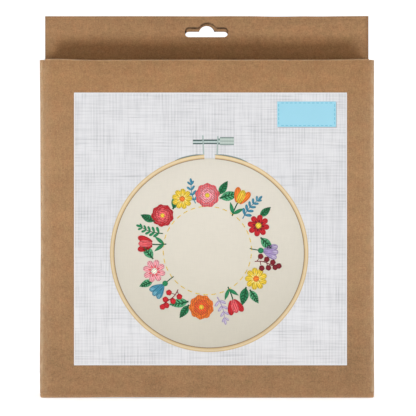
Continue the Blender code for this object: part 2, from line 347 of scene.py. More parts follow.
@dataclass
class BoardSheet:
    """A creased sheet of micro-flute board on a grid.

    The grid's rows run up or over and its columns run to the right as seen from outside. Each
    present cell gives one face of the outer liner and one of the inner liner. Each cut edge gets a
    rim of five bands that dip between the liners where groove is 1, and lie flush where it is 0.

    Args:
        outer: outer liner points, (rows, columns, 3), in millimetres.
        inner: inner liner points, the same shape.
        present: which cells are board, (rows - 1, columns - 1).
        groove: 1 where a cut edge shows the board's core, 0 at a seam, (rows, columns).
        flute: distance across the flutes, (rows, columns).
        crease: how far the board is creased, 0 to 1, (rows, columns).
        tone: how much lighter the liner is there, as a share, below 0 where it is darker.
    """

    outer: Array
    inner: Array
    present: Array
    groove: Array
    flute: Array
    crease: Array
    tone: Array | float = 0.0

    def flipped(self, rows: bool, columns: bool) -> BoardSheet:
        """Count the sheet's rows or columns from their other end.

        Args:
            rows: whether the rows are turned round.
            columns: whether the columns are.

        Returns:
            The same board in that order.
        """
        order = np.s_[:: -1 if rows else 1, :: -1 if columns else 1]
        tone = np.broadcast_to(self.tone, self.groove.shape)
        grids = (self.outer, self.inner, self.present, self.groove, self.flute, self.crease, tone)
        return BoardSheet(*[grid[order] for grid in grids])

    def edges(self) -> Array:
        """Cut edges as pairs of point numbers, with the board on their left seen from outside.

        Returns:
            One pair of point numbers a row.
        """
        index = np.arange(self.groove.size).reshape(self.groove.shape)
        padded = np.pad(self.present, 1)
        above, below = padded[1:, 1:-1], padded[:-1, 1:-1]
        right, left = padded[1:-1, 1:], padded[1:-1, :-1]
        low, high, foot, head = index[:, :-1], index[:, 1:], index[:-1], index[1:]
        sides = (
            (low, high, above & ~below),
            (high, low, below & ~above),
            (foot, head, left & ~right),
            (head, foot, right & ~left),
        )
        return np.concatenate([np.stack([start[cut], stop[cut]], -1) for start, stop, cut in sides])

    def _outwards(self, edges: Array, outer: Array, inner: Array) -> Array:
        """Mitred directions out of the board's edge.

        Each edge's own direction is the edge crossed with the board's thickness. A point takes twice
        the sum of its edges' directions over that sum's squared length.

        Args:
            edges: pairs of point numbers.
            outer: outer points, flattened.
            inner: inner points, flattened.

        Returns:
            One direction a point, zero away from the edges.
        """
        start, stop = edges.T
        out = np.cross(unit(outer[stop] - outer[start]), unit((outer - inner)[edges].sum(axis=1)))
        total = np.zeros_like(outer)
        np.add.at(total, start, out)
        np.add.at(total, stop, out)
        return 2.0 * total / np.maximum((total**2).sum(1, keepdims=True), 0.6)

    def parts(self) -> MeshParts:
        """Work out both liners and the rims as one closed piece.

        Returns:
            The piece, with the marks cut, inside, flute, crease and tone.
        """
        count = self.groove.size
        outer, inner = self.outer.reshape(-1, 3), self.inner.reshape(-1, 3)
        index = np.arange(count).reshape(self.groove.shape)
        i, j = np.nonzero(self.present)
        face = np.stack([index[i, j], index[i, j + 1], index[i + 1, j + 1], index[i + 1, j]], -1)
        edges = self.edges()
        rim = np.unique(edges)
        groove = self.groove.reshape(-1)[rim]
        out = (self._outwards(edges, outer, inner)[rim] * groove[:, None])[None]
        bands = outer[rim] * (1 - RIM_SHARES) + inner[rim] * RIM_SHARES - out * RIM_DIPS
        levels = np.full((len(bands) + 2, count), -1)
        levels[0], levels[-1] = np.arange(count), np.arange(count) + count
        levels[1:-1, rim] = 2 * count + np.arange(bands.size // 3).reshape(len(bands), -1)
        start, stop = edges.T
        near, far = levels[:-1], levels[1:]
        rims = np.stack([near[:, stop], near[:, start], far[:, start], far[:, stop]], -1).reshape(-1, 4)
        quads = np.concatenate([face, face[:, ::-1] + count, rims])

        def spread(grid: Array | float, on_rim: float = 1.0) -> Array:
            """A grid's values on both liners, and a share of them on the rim's bands."""
            values = np.broadcast_to(grid, self.groove.shape).reshape(-1)
            return np.concatenate([values, values, np.tile(values[rim] * on_rim, len(bands))])

        cut = np.concatenate([np.zeros(2 * count), np.tile(groove, len(bands))])
        inside = np.repeat([0.0, 1.0, 0.5], [count, count, len(bands) * len(rim)])
        marks = {
            "cut": cut,
            "inside": inside,
            "flute": spread(self.flute),
            "crease": spread(self.crease),
            "tone": spread(self.tone, 0.0),
        }
        points = np.concatenate([outer, inner, bands.reshape(-1, 3)])
        hard = np.arange(len(quads)) >= 2 * len(face)
        return MeshParts(points, quads, marks, hard=hard).pruned()


def under_lid_shade(x: Array, z: Array) -> Array:
    """How far a place on the header is inside the slanting ends of the lid's shade, 0 to 1."""
    # It eases in over 5 mm from a line that starts outside the header's end at 192.5 mm, by 5.75 mm on
    # the left and 3.45 mm on the right, and runs inwards by 0.85 of the rise.
    start = 4.6 - 1.15 * np.sign(x)
    return smooth((HEADER_HALF_WIDTH - np.abs(x) - 0.85 * (z - 192.5) + start) / 5.0)


def warmed(parts: MeshParts) -> MeshParts:
    """Mark where the board lies in its own warm light.

    The mark is 1 on the header inside the lid's shade, easing out from 206 to 210 mm, and on the
    front it eases from 0 at 160 mm to a half at 180 mm.

    Args:
        parts: a board piece.

    Returns:
        The same piece, with the mark warm.
    """
    x, y, z = parts.points.T
    header = smooth((210.0 - z) / 4.0) * under_lid_shade(x, z) * (z > SLIT_TOP_Z)
    header *= (y > PLIES_FROM_Y) & (y < 17.0)
    parts.marks["warm"] = header + 0.5 * smooth((z - 160.0) / 20.0) * (y < PLIES_FROM_Y)
    return parts


def dense(points: Array, across: Array, step: float = 0.3) -> tuple[Array, Array]:
    """Resample a line of points evenly over the distance across the flutes.

    Args:
        points: the line's points, (n, 3).
        across: that distance at each.
        step: spacing of the new points.

    Returns:
        (points, distances) at the new spacing.
    """
    if across[0] > across[-1]:
        points, across = points[::-1], across[::-1]
    fresh = np.linspace(across[0], across[-1], max(3, int((across[-1] - across[0]) / step)))
    return np.stack([np.interp(fresh, across, points[:, k]) for k in range(3)], -1), fresh


def fluting(outer: Array, inner: Array, across: Array, inwards: Array | float) -> MeshParts:
    """The corrugated core that shows in a cut edge across the flutes.

    A thin closed ribbon follows the edge's middle line plus a sine, 0.3 mm each way along the board's
    thickness, from 0.05 to 0.45 mm in from the edge.

    Args:
        outer: points of the cut edge on the outer liner, (n, 3).
        inner: its points on the inner liner.
        across: distance across the flutes at each.
        inwards: directions into the board, or 1 where it is above the edge and -1 where it is below.

    Returns:
        The ribbon as one closed part.
    """
    path, fresh = dense((outer + inner) / 2, across)
    thick = unit(dense(outer - inner, across)[0])
    if isinstance(inwards, float):
        up = np.cross(unit(np.gradient(path, axis=0)), thick)
        into = inwards * np.sign(up[:, 2:3]) * up
    else:
        into = unit(dense(inwards, across)[0])
    middle = path + 0.3 * np.sin(2 * np.pi * fresh / FLUTE_PITCH)[:, None] * thick
    corners = ((0.05, 0.05), (-0.05, 0.05), (-0.05, 0.45), (0.05, 0.45))
    ring = np.stack([middle + skin * thick + depth * into for skin, depth in corners], axis=1)
    index = np.arange(len(path) * 4).reshape(-1, 4)
    here, after = index.T, np.roll(index, -1, axis=1).T
    sides = np.stack([here[:, :-1], after[:, :-1], after[:, 1:], here[:, 1:]], -1).reshape(-1, 4)
    quads = np.concatenate([sides, [index[0, ::-1], index[-1]]])
    facing = np.cross(ring[0, 1] - ring[0, 0], ring[0, 2] - ring[0, 1])
    quads = quads[:, ::-1] if np.dot(facing, path[1] - path[0]) > 0 else quads
    total = index.size
    # The core's tone of -0.35 is a painted shade of its recess between the liners.
    marks = {
        "cut": np.ones(total),
        "inside": np.full(total, 0.5),
        "flute": np.repeat(fresh, 4),
        "crease": np.zeros(total),
        "tone": np.full(total, -0.35),
    }
    return MeshParts(ring.reshape(-1, 3), quads, marks)


# -------------------- finishes


class Recipe:
    """A material's node tree while it is put together."""

    def __init__(self, name: str) -> None:
        """Start a material with one Principled shader.

        Args:
            name: the material's name.
        """
        self.material = bpy.data.materials.new(name)
        self.material.use_nodes = True
        self.tree = self.material.node_tree
        self.shader = self.tree.nodes["Principled BSDF"]
        self.place = self.tree.nodes.new("ShaderNodeTexCoord").outputs["Object"]

    def put(self, target: Socket, value: Socket | float | Sequence[float]) -> None:
        """Fill a socket.

        Args:
            target: the socket.
            value: another socket to link to it, or its own number, vector or colour.
        """
        if isinstance(value, Socket):
            self.tree.links.new(value, target)
        else:
            target.default_value = (*value, 1.0) if target.type == "RGBA" else value

    def node(self, kind: str, *inputs: Socket | float) -> bpy.types.Node:
        """Add a node and fill its first sockets.

        Args:
            kind: the node's type, without the word ShaderNode.
            inputs: what goes into its sockets, in their order.

        Returns:
            The node.
        """
        made = self.tree.nodes.new(f"ShaderNode{kind}")
        for target, value in zip(made.inputs, inputs):
            self.put(target, value)
        return made

    def feed(self, inputs: dict[str, Socket | float | Sequence[float]]) -> None:
        """Set or link the shader's own sockets, by name."""
        for name, value in inputs.items():
            self.put(self.shader.inputs[name], value)

    def mark(self, name: str, output: str = "Fac") -> Socket:
        """Read a point attribute, as a number or, by the output Color, as a colour."""
        node = self.node("Attribute")
        node.attribute_name = name
        return node.outputs[output]

    def noise(
        self, scale: float | Sequence[float], detail: float = 2.0, rough: float = 0.6, turn: float = 0.0
    ) -> Socket:
        """Noise on the object coordinates, 0 to 1.

        Args:
            scale: how much they are scaled, each way alike or along each axis.
            detail: how many finer layers it has.
            rough: how strong they are.
            turn: how far the coordinates are turned about Y, in degrees.

        Returns:
            The noise.
        """
        scales = np.broadcast_to(np.array(scale, float), 3).tolist()
        stretch = self.node("Mapping", self.place, (0.0, 0.0, 0.0), (0.0, math.radians(turn), 0.0), scales)
        node = self.node("TexNoise")
        sockets = {"Vector": stretch.outputs[0], "Scale": 1.0, "Detail": detail, "Roughness": rough}
        for name, value in sockets.items():
            self.put(node.inputs[name], value)
        return node.outputs["Fac"]

    def reach(self) -> Socket:
        """Distance from the origin, in metres."""
        node = self.node("VectorMath", self.place)
        node.operation = "LENGTH"
        return node.outputs["Value"]

    def along(self, axis: str) -> Socket:
        """One of the object coordinates, by its letter, in metres."""
        return self.node("SeparateXYZ", self.place).outputs[axis]

    def math(self, operation: str, *values: Socket | float) -> Socket:
        """One step of arithmetic on sockets and numbers."""
        node = self.node("Math", *values)
        node.operation = operation
        return node.outputs[0]

    def times(self, first: Socket, second: Socket | float) -> Socket:
        """The product of two values."""
        return self.math("MULTIPLY", first, second)

    def plus(self, first: Socket, share: Socket | float, onto: Socket | float) -> Socket:
        """A share of the first value, added onto another."""
        return self.math("MULTIPLY_ADD", first, share, onto)

    def swing(self, noise: Socket, share: float, onto: Socket | float) -> Socket:
        """A share of a noise's swing about a half, added onto a value."""
        return self.plus(self.math("SUBTRACT", noise, 0.5), share, onto)

    def wave(self, distance: Socket, length: float) -> Socket:
        """The sine of a distance, with a period of the length."""
        return self.math("SINE", self.times(distance, 2 * math.pi / length))

    def remap(
        self, value: Socket, low: float, high: float, to_low: float = 0.0, to_high: float = 1.0
    ) -> Socket:
        """Stretch low to high onto to_low to to_high, eased at both ends and held outside them."""
        node = self.node("MapRange", value, low, high, to_low, to_high)
        node.interpolation_type = "SMOOTHSTEP"
        return node.outputs["Result"]

    def mix(
        self,
        share: Socket | float,
        first: Socket | Sequence[float],
        second: Socket | Sequence[float],
        blend: str = "MIX",
    ) -> Socket:
        """Blend two colours.

        Args:
            share: how much of the blend shows.
            first: the colour below.
            second: the colour above.
            blend: the way they are blended.

        Returns:
            The blended colour.
        """
        node = self.node("Mix", share)
        node.data_type, node.blend_type = "RGBA", blend
        colours = [socket for socket in node.inputs if socket.type == "RGBA"]
        self.put(colours[0], first)
        self.put(colours[1], second)
        return next(socket for socket in node.outputs if socket.type == "RGBA")

    def lit(self, colour: Socket | Colour, gain: Socket) -> Socket:
        """A colour times a grey gain."""
        grey = self.node("CombineColor", gain, gain, gain).outputs["Color"]
        return self.mix(1.0, colour, grey, "MULTIPLY")

    def bump(self, height: Socket, depth_mm: float) -> None:
        """Lift the surface.

        Args:
            height: how high, 0 to 1.
            depth_mm: what 1 stands for, in millimetres.
        """
        node = self.node("Bump", 1.0, depth_mm * MM)
        self.put(node.inputs["Height"], height)
        self.feed({"Normal": node.outputs["Normal"]})


@dataclass(frozen=True)
class KraftLiner:
    """Uncoated brown kraft liner over micro-flute, with raw cut edges, pale creases partly painted as
    highlight, and painted light and shade from its tone.
    """

    base: Colour = (0.378, 0.213, 0.101)
    pale: Colour = (0.52, 0.368, 0.226)
    inner_liner: Colour = (0.30, 0.185, 0.095)
    raw_edge: Colour = (0.30, 0.185, 0.10)
    dark_fleck: Colour = (0.19, 0.10, 0.045)
    light_fleck: Colour = (0.56, 0.39, 0.24)
    redder: Colour = (1.05, 0.97, 0.955)
    yellower: Colour = (0.97, 1.025, 1.0)
    warm_light: Colour = (1.0, 0.925, 0.82)
    roughness: float = 0.86

    def material(self) -> Material:
        """Build the liner: cloudy pulp, fibres both ways, flecks, faint flutes, creases and cuts.

        Returns:
            The material.
        """
        r = Recipe("kraft_liner")
        pulp, fibre = r.noise(520, 4.0, 0.7), r.noise((2600, 2600, 420))
        grains = (
            (r.noise(95, 3.0, 0.5), 0.26),
            (r.noise((38, 38, 210), rough=0.5), 0.22),
            (pulp, 0.52),
            (r.noise(1250), 0.76),
            (fibre, 0.30),
            (r.noise((420, 420, 2600), turn=12.0), 0.30),
        )
        gain: Socket | float = 1.0
        for noise, share in grains:
            gain = r.swing(noise, share, gain)
        patchy = r.remap(r.noise((260, 260, 640), rough=0.5), 0.3, 0.7, 0.6, 1.3)
        flutes = r.wave(r.mark("flute"), FLUTE_PITCH)
        # The tone mark lightens or darkens the liner, much of it as painted light and shade.
        colour = r.lit(self.base, r.plus(flutes, 0.006, r.plus(r.mark("tone"), patchy, gain)))
        hue = r.noise(170)
        for low, high, tint in ((0.45, 0.75, self.redder), (0.50, 0.25, self.yellower)):
            tinted = r.mix(1.0, colour, tint, "MULTIPLY")
            colour = r.mix(r.remap(hue, low, high, 0.0, 0.7), colour, tinted)
        colour = r.mix(r.mark("warm"), colour, self.warm_light, "MULTIPLY")
        flecks, scuff = r.noise(1500, 1.0, 0.5), r.noise((700, 700, 260), 3.0)
        crease = r.mark("crease")
        # Creases go pale, partly as real crease wear and partly as a painted highlight.
        pale_crease_and_highlight = r.times(crease, r.remap(scuff, 0.3, 0.75, 0.25, 1.0))
        layers = (
            (r.remap(flecks, 0.70, 0.78, 0.0, 0.42), self.dark_fleck),
            (r.remap(flecks, 0.30, 0.22, 0.0, 0.5), self.light_fleck),
            (r.times(pale_crease_and_highlight, 0.85), self.pale),
            (r.remap(r.mark("inside"), 0.6, 1.0, 0.0, 0.35), self.inner_liner),
            (r.times(r.mark("cut"), 0.8), self.raw_edge),
        )
        for share, tint in layers:
            colour = r.mix(share, colour, tint)
        r.feed({"Base Color": colour, "Roughness": self.roughness, "Specular IOR Level": 0.22})
        r.feed({"Sheen Weight": 0.08, "Sheen Roughness": 0.6})
        height = r.plus(flutes, 0.16, r.plus(pulp, 0.5, r.times(fibre, 0.35)))
        r.bump(r.plus(scuff, r.times(crease, 0.8), height), 0.05)
        return r.material


@dataclass(frozen=True)
class LinenPaper:
    """Satin label paper printed with a pale grey woven ground and left white at its very edge.

    Args:
        thread: the ground's grey threads.
        ground: the colour between them.
        bare: the bare edge.
        threads: fine and coarse noise scale, the stretch of it that shows, and its strength.
        weaves: axis, scales of drift and patches, and strength of the even threads.
        thread_pitch: spacing of the even threads, in metres.
    """

    thread: Colour = linear(190, 191, 194)
    ground: Colour = linear(227, 227, 229)
    bare: Colour = linear(230, 231, 234)
    threads: tuple[tuple[float, ...], ...] = (
        (1050.0, 36.0, 0.54, 0.72, 0.38),
        (1900.0, 60.0, 0.50, 0.75, 0.5),
        (480.0, 44.0, 0.5, 0.8, 0.25),
    )
    weaves: tuple[tuple[str, Colour, Colour, float], ...] = (
        ("X", (75, 50, 10), (110, 50, 36), 0.42),
        ("Z", (10, 50, 75), (42, 50, 120), 0.32),
    )
    thread_pitch: float = 0.00176

    def material(self) -> Material:
        """Build the paper: irregular upright and level threads in patches, and the bare edge.

        Returns:
            The material.
        """
        r = Recipe("label_paper")
        lines: Socket | float = 0.0
        patch = r.noise((58, 50, 58))
        for fine, coarse, low, high, weight in self.threads:
            upright = r.remap(r.noise((fine, 50, coarse), 1.5), low, high)
            level = r.remap(r.noise((coarse, 50, fine), 1.5), low, high)
            lines = r.plus(upright, r.remap(patch, 0.35, 0.6, 0.2, weight), lines)
            lines = r.plus(level, r.remap(patch, 0.65, 0.4, 0.2, weight), lines)
        for axis, slow, patches, most in self.weaves:
            drift = r.times(r.noise(slow, 1.0, 0.5), 9.0)
            turn = r.plus(r.along(axis), 2 * math.pi / self.thread_pitch, drift)
            weft = r.plus(r.math("SINE", turn), 0.5, 0.5)
            lines = r.plus(weft, r.remap(r.noise(patches, rough=0.5), 0.38, 0.62, 0.05, most), lines)
        # The tone mark paints light and shade into the paper's colour.
        colour = r.lit(r.mix(r.times(lines, 0.8), self.ground, self.thread), r.mark("tone"))
        r.feed({"Base Color": r.mix(r.mark("edge"), colour, self.bare)})
        r.feed({"Roughness": r.remap(patch, 0.0, 1.0, 0.5, 0.6), "Specular IOR Level": 0.3})
        r.bump(r.noise(3200), 0.006)
        return r.material


@dataclass(frozen=True)
class PrintedInk:
    """Ink on the label that pictures one stuff, coloured by the point attribute ink.

    Args:
        grains: scale, detail, roughness and strength of each noise in its tone.
        ridge: strength of the fine ridges across its strands.
        ridge_pitch: their spacing, in millimetres.
        share: how much of its colour the ink gives back.
    """

    grains: tuple[tuple[float | Sequence[float], float, float, float], ...] = ()
    ridge: float = 0.0
    ridge_pitch: float = 1.0
    share: float = 0.965

    def material(self, name: str) -> Material:
        """Build the ink: its colour, then the grain, weave, stitches or shine that it pictures.

        Args:
            name: the stuff's name.

        Returns:
            The material.
        """
        r = Recipe(f"print_{name}")
        tone = r.mark("tone")
        if self.ridge:
            tone = r.plus(r.wave(r.mark("strand"), self.ridge_pitch), self.ridge, tone)
        for scale, detail, rough, strength in self.grains:
            tone = r.swing(r.noise(scale, detail, rough), strength, tone)
        colour = r.lit(r.mark("ink", "Color"), r.times(tone, self.share))
        satin = r.remap(r.noise(500, rough=0.5), 0.3, 0.7, 0.48, 0.58)
        r.feed({"Base Color": colour, "Roughness": satin, "Specular IOR Level": 0.3})
        r.bump(r.noise(3200), 0.006)
        return r.material


class Ink(Enum):
    """The printed finishes on the label, by what each pictures."""

    CLOTH = PrintedInk(
        (((1900, 50, 170), 2.0, 0.6, 0.07), ((170, 50, 1900), 2.0, 0.6, 0.07), ((45, 50, 45), 2.0, 0.5, 0.05))
    )
    WOOD = PrintedInk(((260, 4.0, 0.65, 0.16),))
    METAL = PrintedInk(ridge=0.07, ridge_pitch=0.9)
    THREAD = PrintedInk(((900, 2.0, 0.6, 0.8),), ridge=0.28, share=0.772)
    PATCH = PrintedInk(((120, 2.0, 0.5, 0.05),))


# -------------------- carton body


class Zone(IntEnum):
    """Stretches of the carton's blank, in their order round the plan."""

    WING_RIGHT = 0
    INNER_BACK = 1
    CORNER_LEFT_REAR = 2
    LEFT = 3
    CORNER_LEFT_FRONT = 4
    FRONT = 5
    CORNER_RIGHT_FRONT = 6
    RIGHT = 7
    CORNER_RIGHT_REAR = 8
    OUTER_BACK = 9
    WING_LEFT = 10


@dataclass(frozen=True)
class EuroSlot:
    """A euro slot: a round-ended band with a domed bump above its middle, in millimetres."""

    centre_x: float = -0.14
    half_width: float = 12.6
    end_radius: float = 2.3
    bottom_z: float = 208.3
    shoulder_z: float = 214.0
    bump_radius: float = 5.9
    bump_rise: float = 2.8
    bump_off: float = 0.6

    def stations(self) -> Array:
        """Columns from the slot's left end to its right end, closer together where it is round.

        Returns:
            Places along x, rising.
        """
        turn = np.radians(np.linspace(90.0, 0.0, 7))
        end = -(self.half_width - self.end_radius) - self.end_radius * np.sin(turn)
        chord = math.sqrt(2 * self.bump_radius * self.bump_rise - self.bump_rise**2)
        bump = self.bump_off - chord * np.cos(np.linspace(0, np.pi, 17))
        left, right = np.linspace(end[-1], bump[0], 4), np.linspace(bump[-1], -end[-1], 4)
        return self.centre_x + np.concatenate([end, left[1:], bump[1:], right[1:], -end[::-1][1:]])

    def outline(self, x: Array) -> tuple[Array, Array]:
        """Heights of the slot's lower and upper edge over x.

        The upper edge is the shoulder, plus what stands above it of the bump's circle, less the end's
        rounding; the lower edge is the bottom plus that rounding.

        Args:
            x: places across the header.

        Returns:
            (lower, upper) heights, held beyond the slot's ends.
        """
        off = np.abs(x - self.centre_x)
        into_end = np.clip(off - (self.half_width - self.end_radius), 0.0, self.end_radius)
        rounding = self.end_radius - np.sqrt(self.end_radius**2 - into_end**2)
        circle = np.sqrt(np.maximum(self.bump_radius**2 - (x - self.centre_x - self.bump_off) ** 2, 0.0))
        bump = np.maximum(circle - (self.bump_radius - self.bump_rise), 0.0)
        return self.bottom_z + rounding, self.shoulder_z - rounding + bump

    def clearance(self, x: Array, z: Array) -> Array:
        """Distance of places on the header from the slot, 0 inside it.

        Args:
            x: places across the header.
            z: their heights.

        Returns:
            The distances.
        """
        lower, upper = self.outline(x)
        beyond = np.maximum(np.abs(x - self.centre_x) - self.half_width, 0.0)
        return np.hypot(beyond, np.maximum(np.maximum(lower - z, z - upper), 0.0))


@dataclass
class CartonShell:
    """The carton's wrapped blank: inner back panel, left side, front, right side, outer back panel.

    One creased sheet goes once round the plan, so the back is two plies, and both plies run on
    upwards as the header, each with its own euro slot.

    Args:
        front_slot: the front ply's slot.
        rear_slot: the rear ply's slot.
        front_lips: heights of the rows above the front slot, over its edge.
        rear_lips: the same rows on the rear ply, as shares of the way from its slot to the front's.
        edge_bands: distances of the topmost rows from the header's top.
        panel_step: spacing of the columns on the back panels.
        crush_depth: how far in from a cut edge the die has crushed the header.
    """

    front_slot: EuroSlot = EuroSlot()
    rear_slot: EuroSlot = EuroSlot(
        bottom_z=205.9, shoulder_z=211.6, bump_radius=4.6, bump_rise=3.4, bump_off=0.1
    )
    front_lips: tuple[float, ...] = (0.0, 0.15, 0.3, 0.45, 0.6, 0.75, 0.9, 1.05)
    rear_lips: tuple[float, ...] = (0.0, 0.12, 0.3, 0.5, 0.62, 0.75, 0.9, 1.08)
    edge_bands: tuple[float, ...] = (2.4, 1.8, 1.5, 1.2, 0.9, 0.6, 0.0)
    panel_step: float = 4.4
    crush_depth: float = 2.5

    def _back_stations(self, slot: EuroSlot) -> Array:
        """Columns of a back panel from right to left, with the slot's own columns in the middle.

        Args:
            slot: the panel's slot.

        Returns:
            Places along x, falling.
        """
        middle = slot.stations()
        count = round((PANEL_HALF_WIDTH + middle[0]) / self.panel_step) + 1
        left = np.linspace(-PANEL_HALF_WIDTH, middle[0], count)[:-1]
        right = np.linspace(middle[-1], PANEL_HALF_WIDTH, count)[1:]
        return np.concatenate([left, middle, right])[::-1]

    def _plan(self) -> tuple[Run, Run, Array, Array]:
        """Lay the blank round the plan, counter-clockwise seen from above.

        Returns:
            (the box's run, the header's run, zone of each cell, crease share of each column).
        """
        r, bend = UPRIGHT_FOLD, 8
        fold_x, front, inner_rear, outer_rear = SIDE_X - r, FRONT_Y + r, INNER_PLY_Y - r, BACK_Y - r
        wing = np.linspace(PANEL_HALF_WIDTH, HEADER_HALF_WIDTH, 4)
        reach = np.linspace(PANEL_HALF_WIDTH, HEADER_HALF_WIDTH, bend + 1)
        low = {
            Zone.WING_RIGHT: level_run(wing[::-1], INNER_PLY_Y),
            Zone.INNER_BACK: level_run(self._back_stations(self.front_slot), INNER_PLY_Y),
            Zone.CORNER_LEFT_REAR: chained(
                level_run((-PANEL_HALF_WIDTH, -fold_x), INNER_PLY_Y),
                arc((-fold_x, inner_rear), r, 90, 180, bend),
            ),
            Zone.LEFT: line((-SIDE_X, inner_rear), (-SIDE_X, front), (-1, 0), bend),
            Zone.CORNER_LEFT_FRONT: chained(
                arc((-fold_x, front), r, 180, 270, bend), level_run((-fold_x, -SEAM_X), FRONT_Y, -1.0)
            ),
            Zone.FRONT: level_run(np.linspace(-SEAM_X, SEAM_X, 43), FRONT_Y, -1.0),
            Zone.CORNER_RIGHT_FRONT: chained(
                level_run((SEAM_X, fold_x), FRONT_Y, -1.0), arc((fold_x, front), r, 270, 360, bend)
            ),
            Zone.RIGHT: line((SIDE_X, front), (SIDE_X, outer_rear), (1, 0), bend),
            Zone.CORNER_RIGHT_REAR: chained(
                arc((fold_x, outer_rear), r, 0, 90, bend), level_run((fold_x, PANEL_HALF_WIDTH), BACK_Y)
            ),
            Zone.OUTER_BACK: level_run(self._back_stations(self.rear_slot), BACK_Y),
            Zone.WING_LEFT: level_run(-wing, BACK_Y),
        }
        high = dict(low)
        high[Zone.CORNER_LEFT_REAR] = level_run(-reach, INNER_PLY_Y)
        high[Zone.CORNER_RIGHT_REAR] = level_run(reach[::-1], BACK_Y)
        zones = np.repeat([int(zone) for zone in low], [len(points) - 1 for points, _ in low.values()])
        points, away = box = chained(*low.values())
        # Columns on the upright folds go pale, partly as crease wear and partly as a painted highlight, most
        # halfway round each bend.
        tail = np.where(points[:, 1] < FRONT_Y + 0.01, fold_tail(points[:, 0]), 0.0)
        creased = np.maximum(0.95 * smooth(np.abs(away[:, 0] * away[:, 1]) / 0.42), tail)
        return box, chained(*high.values()), zones, creased

    def sheet(self) -> BoardSheet:
        """Raise the plan into the sheet, row by row.

        A point's place is its column's plan point, with its row's height. Rows between the slot's
        edges follow the slot's outline, and the top row follows the die's slightly wavy cut.

        Returns:
            The carton's wrapped blank.
        """
        (low, low_away), (high, high_away), zones, bent = self._plan()
        panel = np.linspace(FRONT_SEAM_LOW_Z, FRONT_SEAM_HIGH_Z, 41)
        below = [0.0, 1.8, SIDE_LOW_Z, 5.6, *panel, SIDE_HIGH_Z, SLIT_TOP_Z, 190.3, 191.3, CORNER_TOP_Z]
        below += [194.2, 197.0, 200.0, 203.5, 207.5]
        lips = np.linspace(212.0, 217.4, len(self.front_lips))
        rows = np.array([*below, 210.0, *lips, *(HEADER_TOP_Z - np.array(self.edge_bands))])
        in_header = (rows > SIDE_HIGH_Z + 0.05)[:, None, None]
        plan, away = np.where(in_header, high, low), np.where(in_header, high_away, low_away)
        z = np.repeat(rows[:, None], len(low), axis=1)
        x, y = plan[..., 0], plan[..., 1]
        foot = len(below)
        rear = np.arange(len(low)) > np.searchsorted(zones, int(Zone.FRONT))
        front_lower, front_upper = self.front_slot.outline(x[foot])
        rear_lower, rear_upper = self.rear_slot.outline(x[foot])
        lower = np.where(rear, rear_lower, front_lower)
        over_front = front_upper + np.array(self.front_lips)[:, None]
        over_rear = rear_upper + (front_upper - rear_upper) * np.array(self.rear_lips)[:, None]
        z[foot - 1: foot + 1] = lower - 0.6, lower
        z[foot + 1: foot + 1 + len(lips)] = np.where(rear, over_rear, over_front)
        places = (-94.8, -65, -56, -37, -19, 0, 9.5, 28, 38, 47, 56.6, 66, 85, 94.8)
        cut = (0.14, 0.17, 0.18, 0.20, 0.18, 0.11, 0.22, 0.19, -0.04, -0.02, 0.13, 0.03, 0.24, 0.30)
        z[-6:] += np.interp(x[-1], places, cut) * np.array([0.3, 0.5, 0.7, 0.9, 1.0, 1.0])[:, None]
        corner = np.isin(zones, (Zone.CORNER_LEFT_FRONT, Zone.CORNER_RIGHT_FRONT))
        at_corner = np.concatenate([corner[:1], corner[1:] | corner[:-1], corner[-1:]])
        z[below.index(SIDE_LOW_Z), at_corner] = SIDE_LOW_Z - 0.12
        crush = self._crush(x, y, z)
        through = np.concatenate([away, np.zeros_like(z)[..., None]], axis=-1)
        outer = np.concatenate([plan, z[..., None]], axis=-1) - through * (0.10 * crush)[..., None]
        inner = outer - through * (BOARD - 0.22 * crush)[..., None]
        open_zones = (Zone.INNER_BACK, Zone.OUTER_BACK, Zone.WING_RIGHT)
        groove = (z > SIDE_HIGH_Z + 0.05) | np.isin(np.append(zones, zones[-1]), open_zones)
        groove &= ~((np.abs(x) < SEAM_X + 0.01) & (y < 0))
        flute = travelled(low)
        flute -= flute[np.argmin(np.abs(low[:, 0]) + 10 * np.abs(low[:, 1] - FRONT_Y))]
        return BoardSheet(
            settled(outer),
            settled(inner),
            self._present(rows, zones, foot, x),
            groove.astype(float),
            np.repeat(flute[None], len(rows), axis=0),
            np.where(in_header[..., 0] & (y > PLIES_FROM_Y), 0.13 * crush, bent),
            self._tone(x, y, z),
        )

    def _present(self, rows: Array, zones: Array, foot: int, x: Array) -> Array:
        """Say which cells are board.

        Args:
            rows: each row's nominal height.
            zones: each cell column's zone.
            foot: the row of the slots' lower edge.
            x: plan x of each row and column.

        Returns:
            One truth value a cell.
        """
        low, high = rows[:-1, None], rows[1:, None]
        backs = (Zone.INNER_BACK, Zone.OUTER_BACK)
        rear_corners = (Zone.CORNER_LEFT_REAR, Zone.CORNER_RIGHT_REAR)
        spans = (
            ((Zone.FRONT,), FRONT_SEAM_LOW_Z, FRONT_SEAM_HIGH_Z),
            ((Zone.LEFT, Zone.RIGHT, *rear_corners), SIDE_LOW_Z, SIDE_HIGH_Z),
            ((Zone.CORNER_LEFT_FRONT, Zone.CORNER_RIGHT_FRONT), SIDE_LOW_Z, CORNER_TOP_Z),
            ((Zone.WING_RIGHT, Zone.WING_LEFT, *rear_corners), SLIT_TOP_Z, HEADER_TOP_Z),
            (backs, 0.0, HEADER_TOP_Z),
        )
        present = np.zeros((len(rows) - 1, len(zones)), bool)
        for names, bottom, top in spans:
            present |= np.isin(zones, names) & (low > bottom - 0.01) & (high < top + 0.01)
        middle = (x[foot, :-1] + x[foot, 1:]) / 2 - self.front_slot.centre_x
        present[foot, (np.abs(middle) < self.front_slot.half_width) & np.isin(zones, backs)] = False
        return present

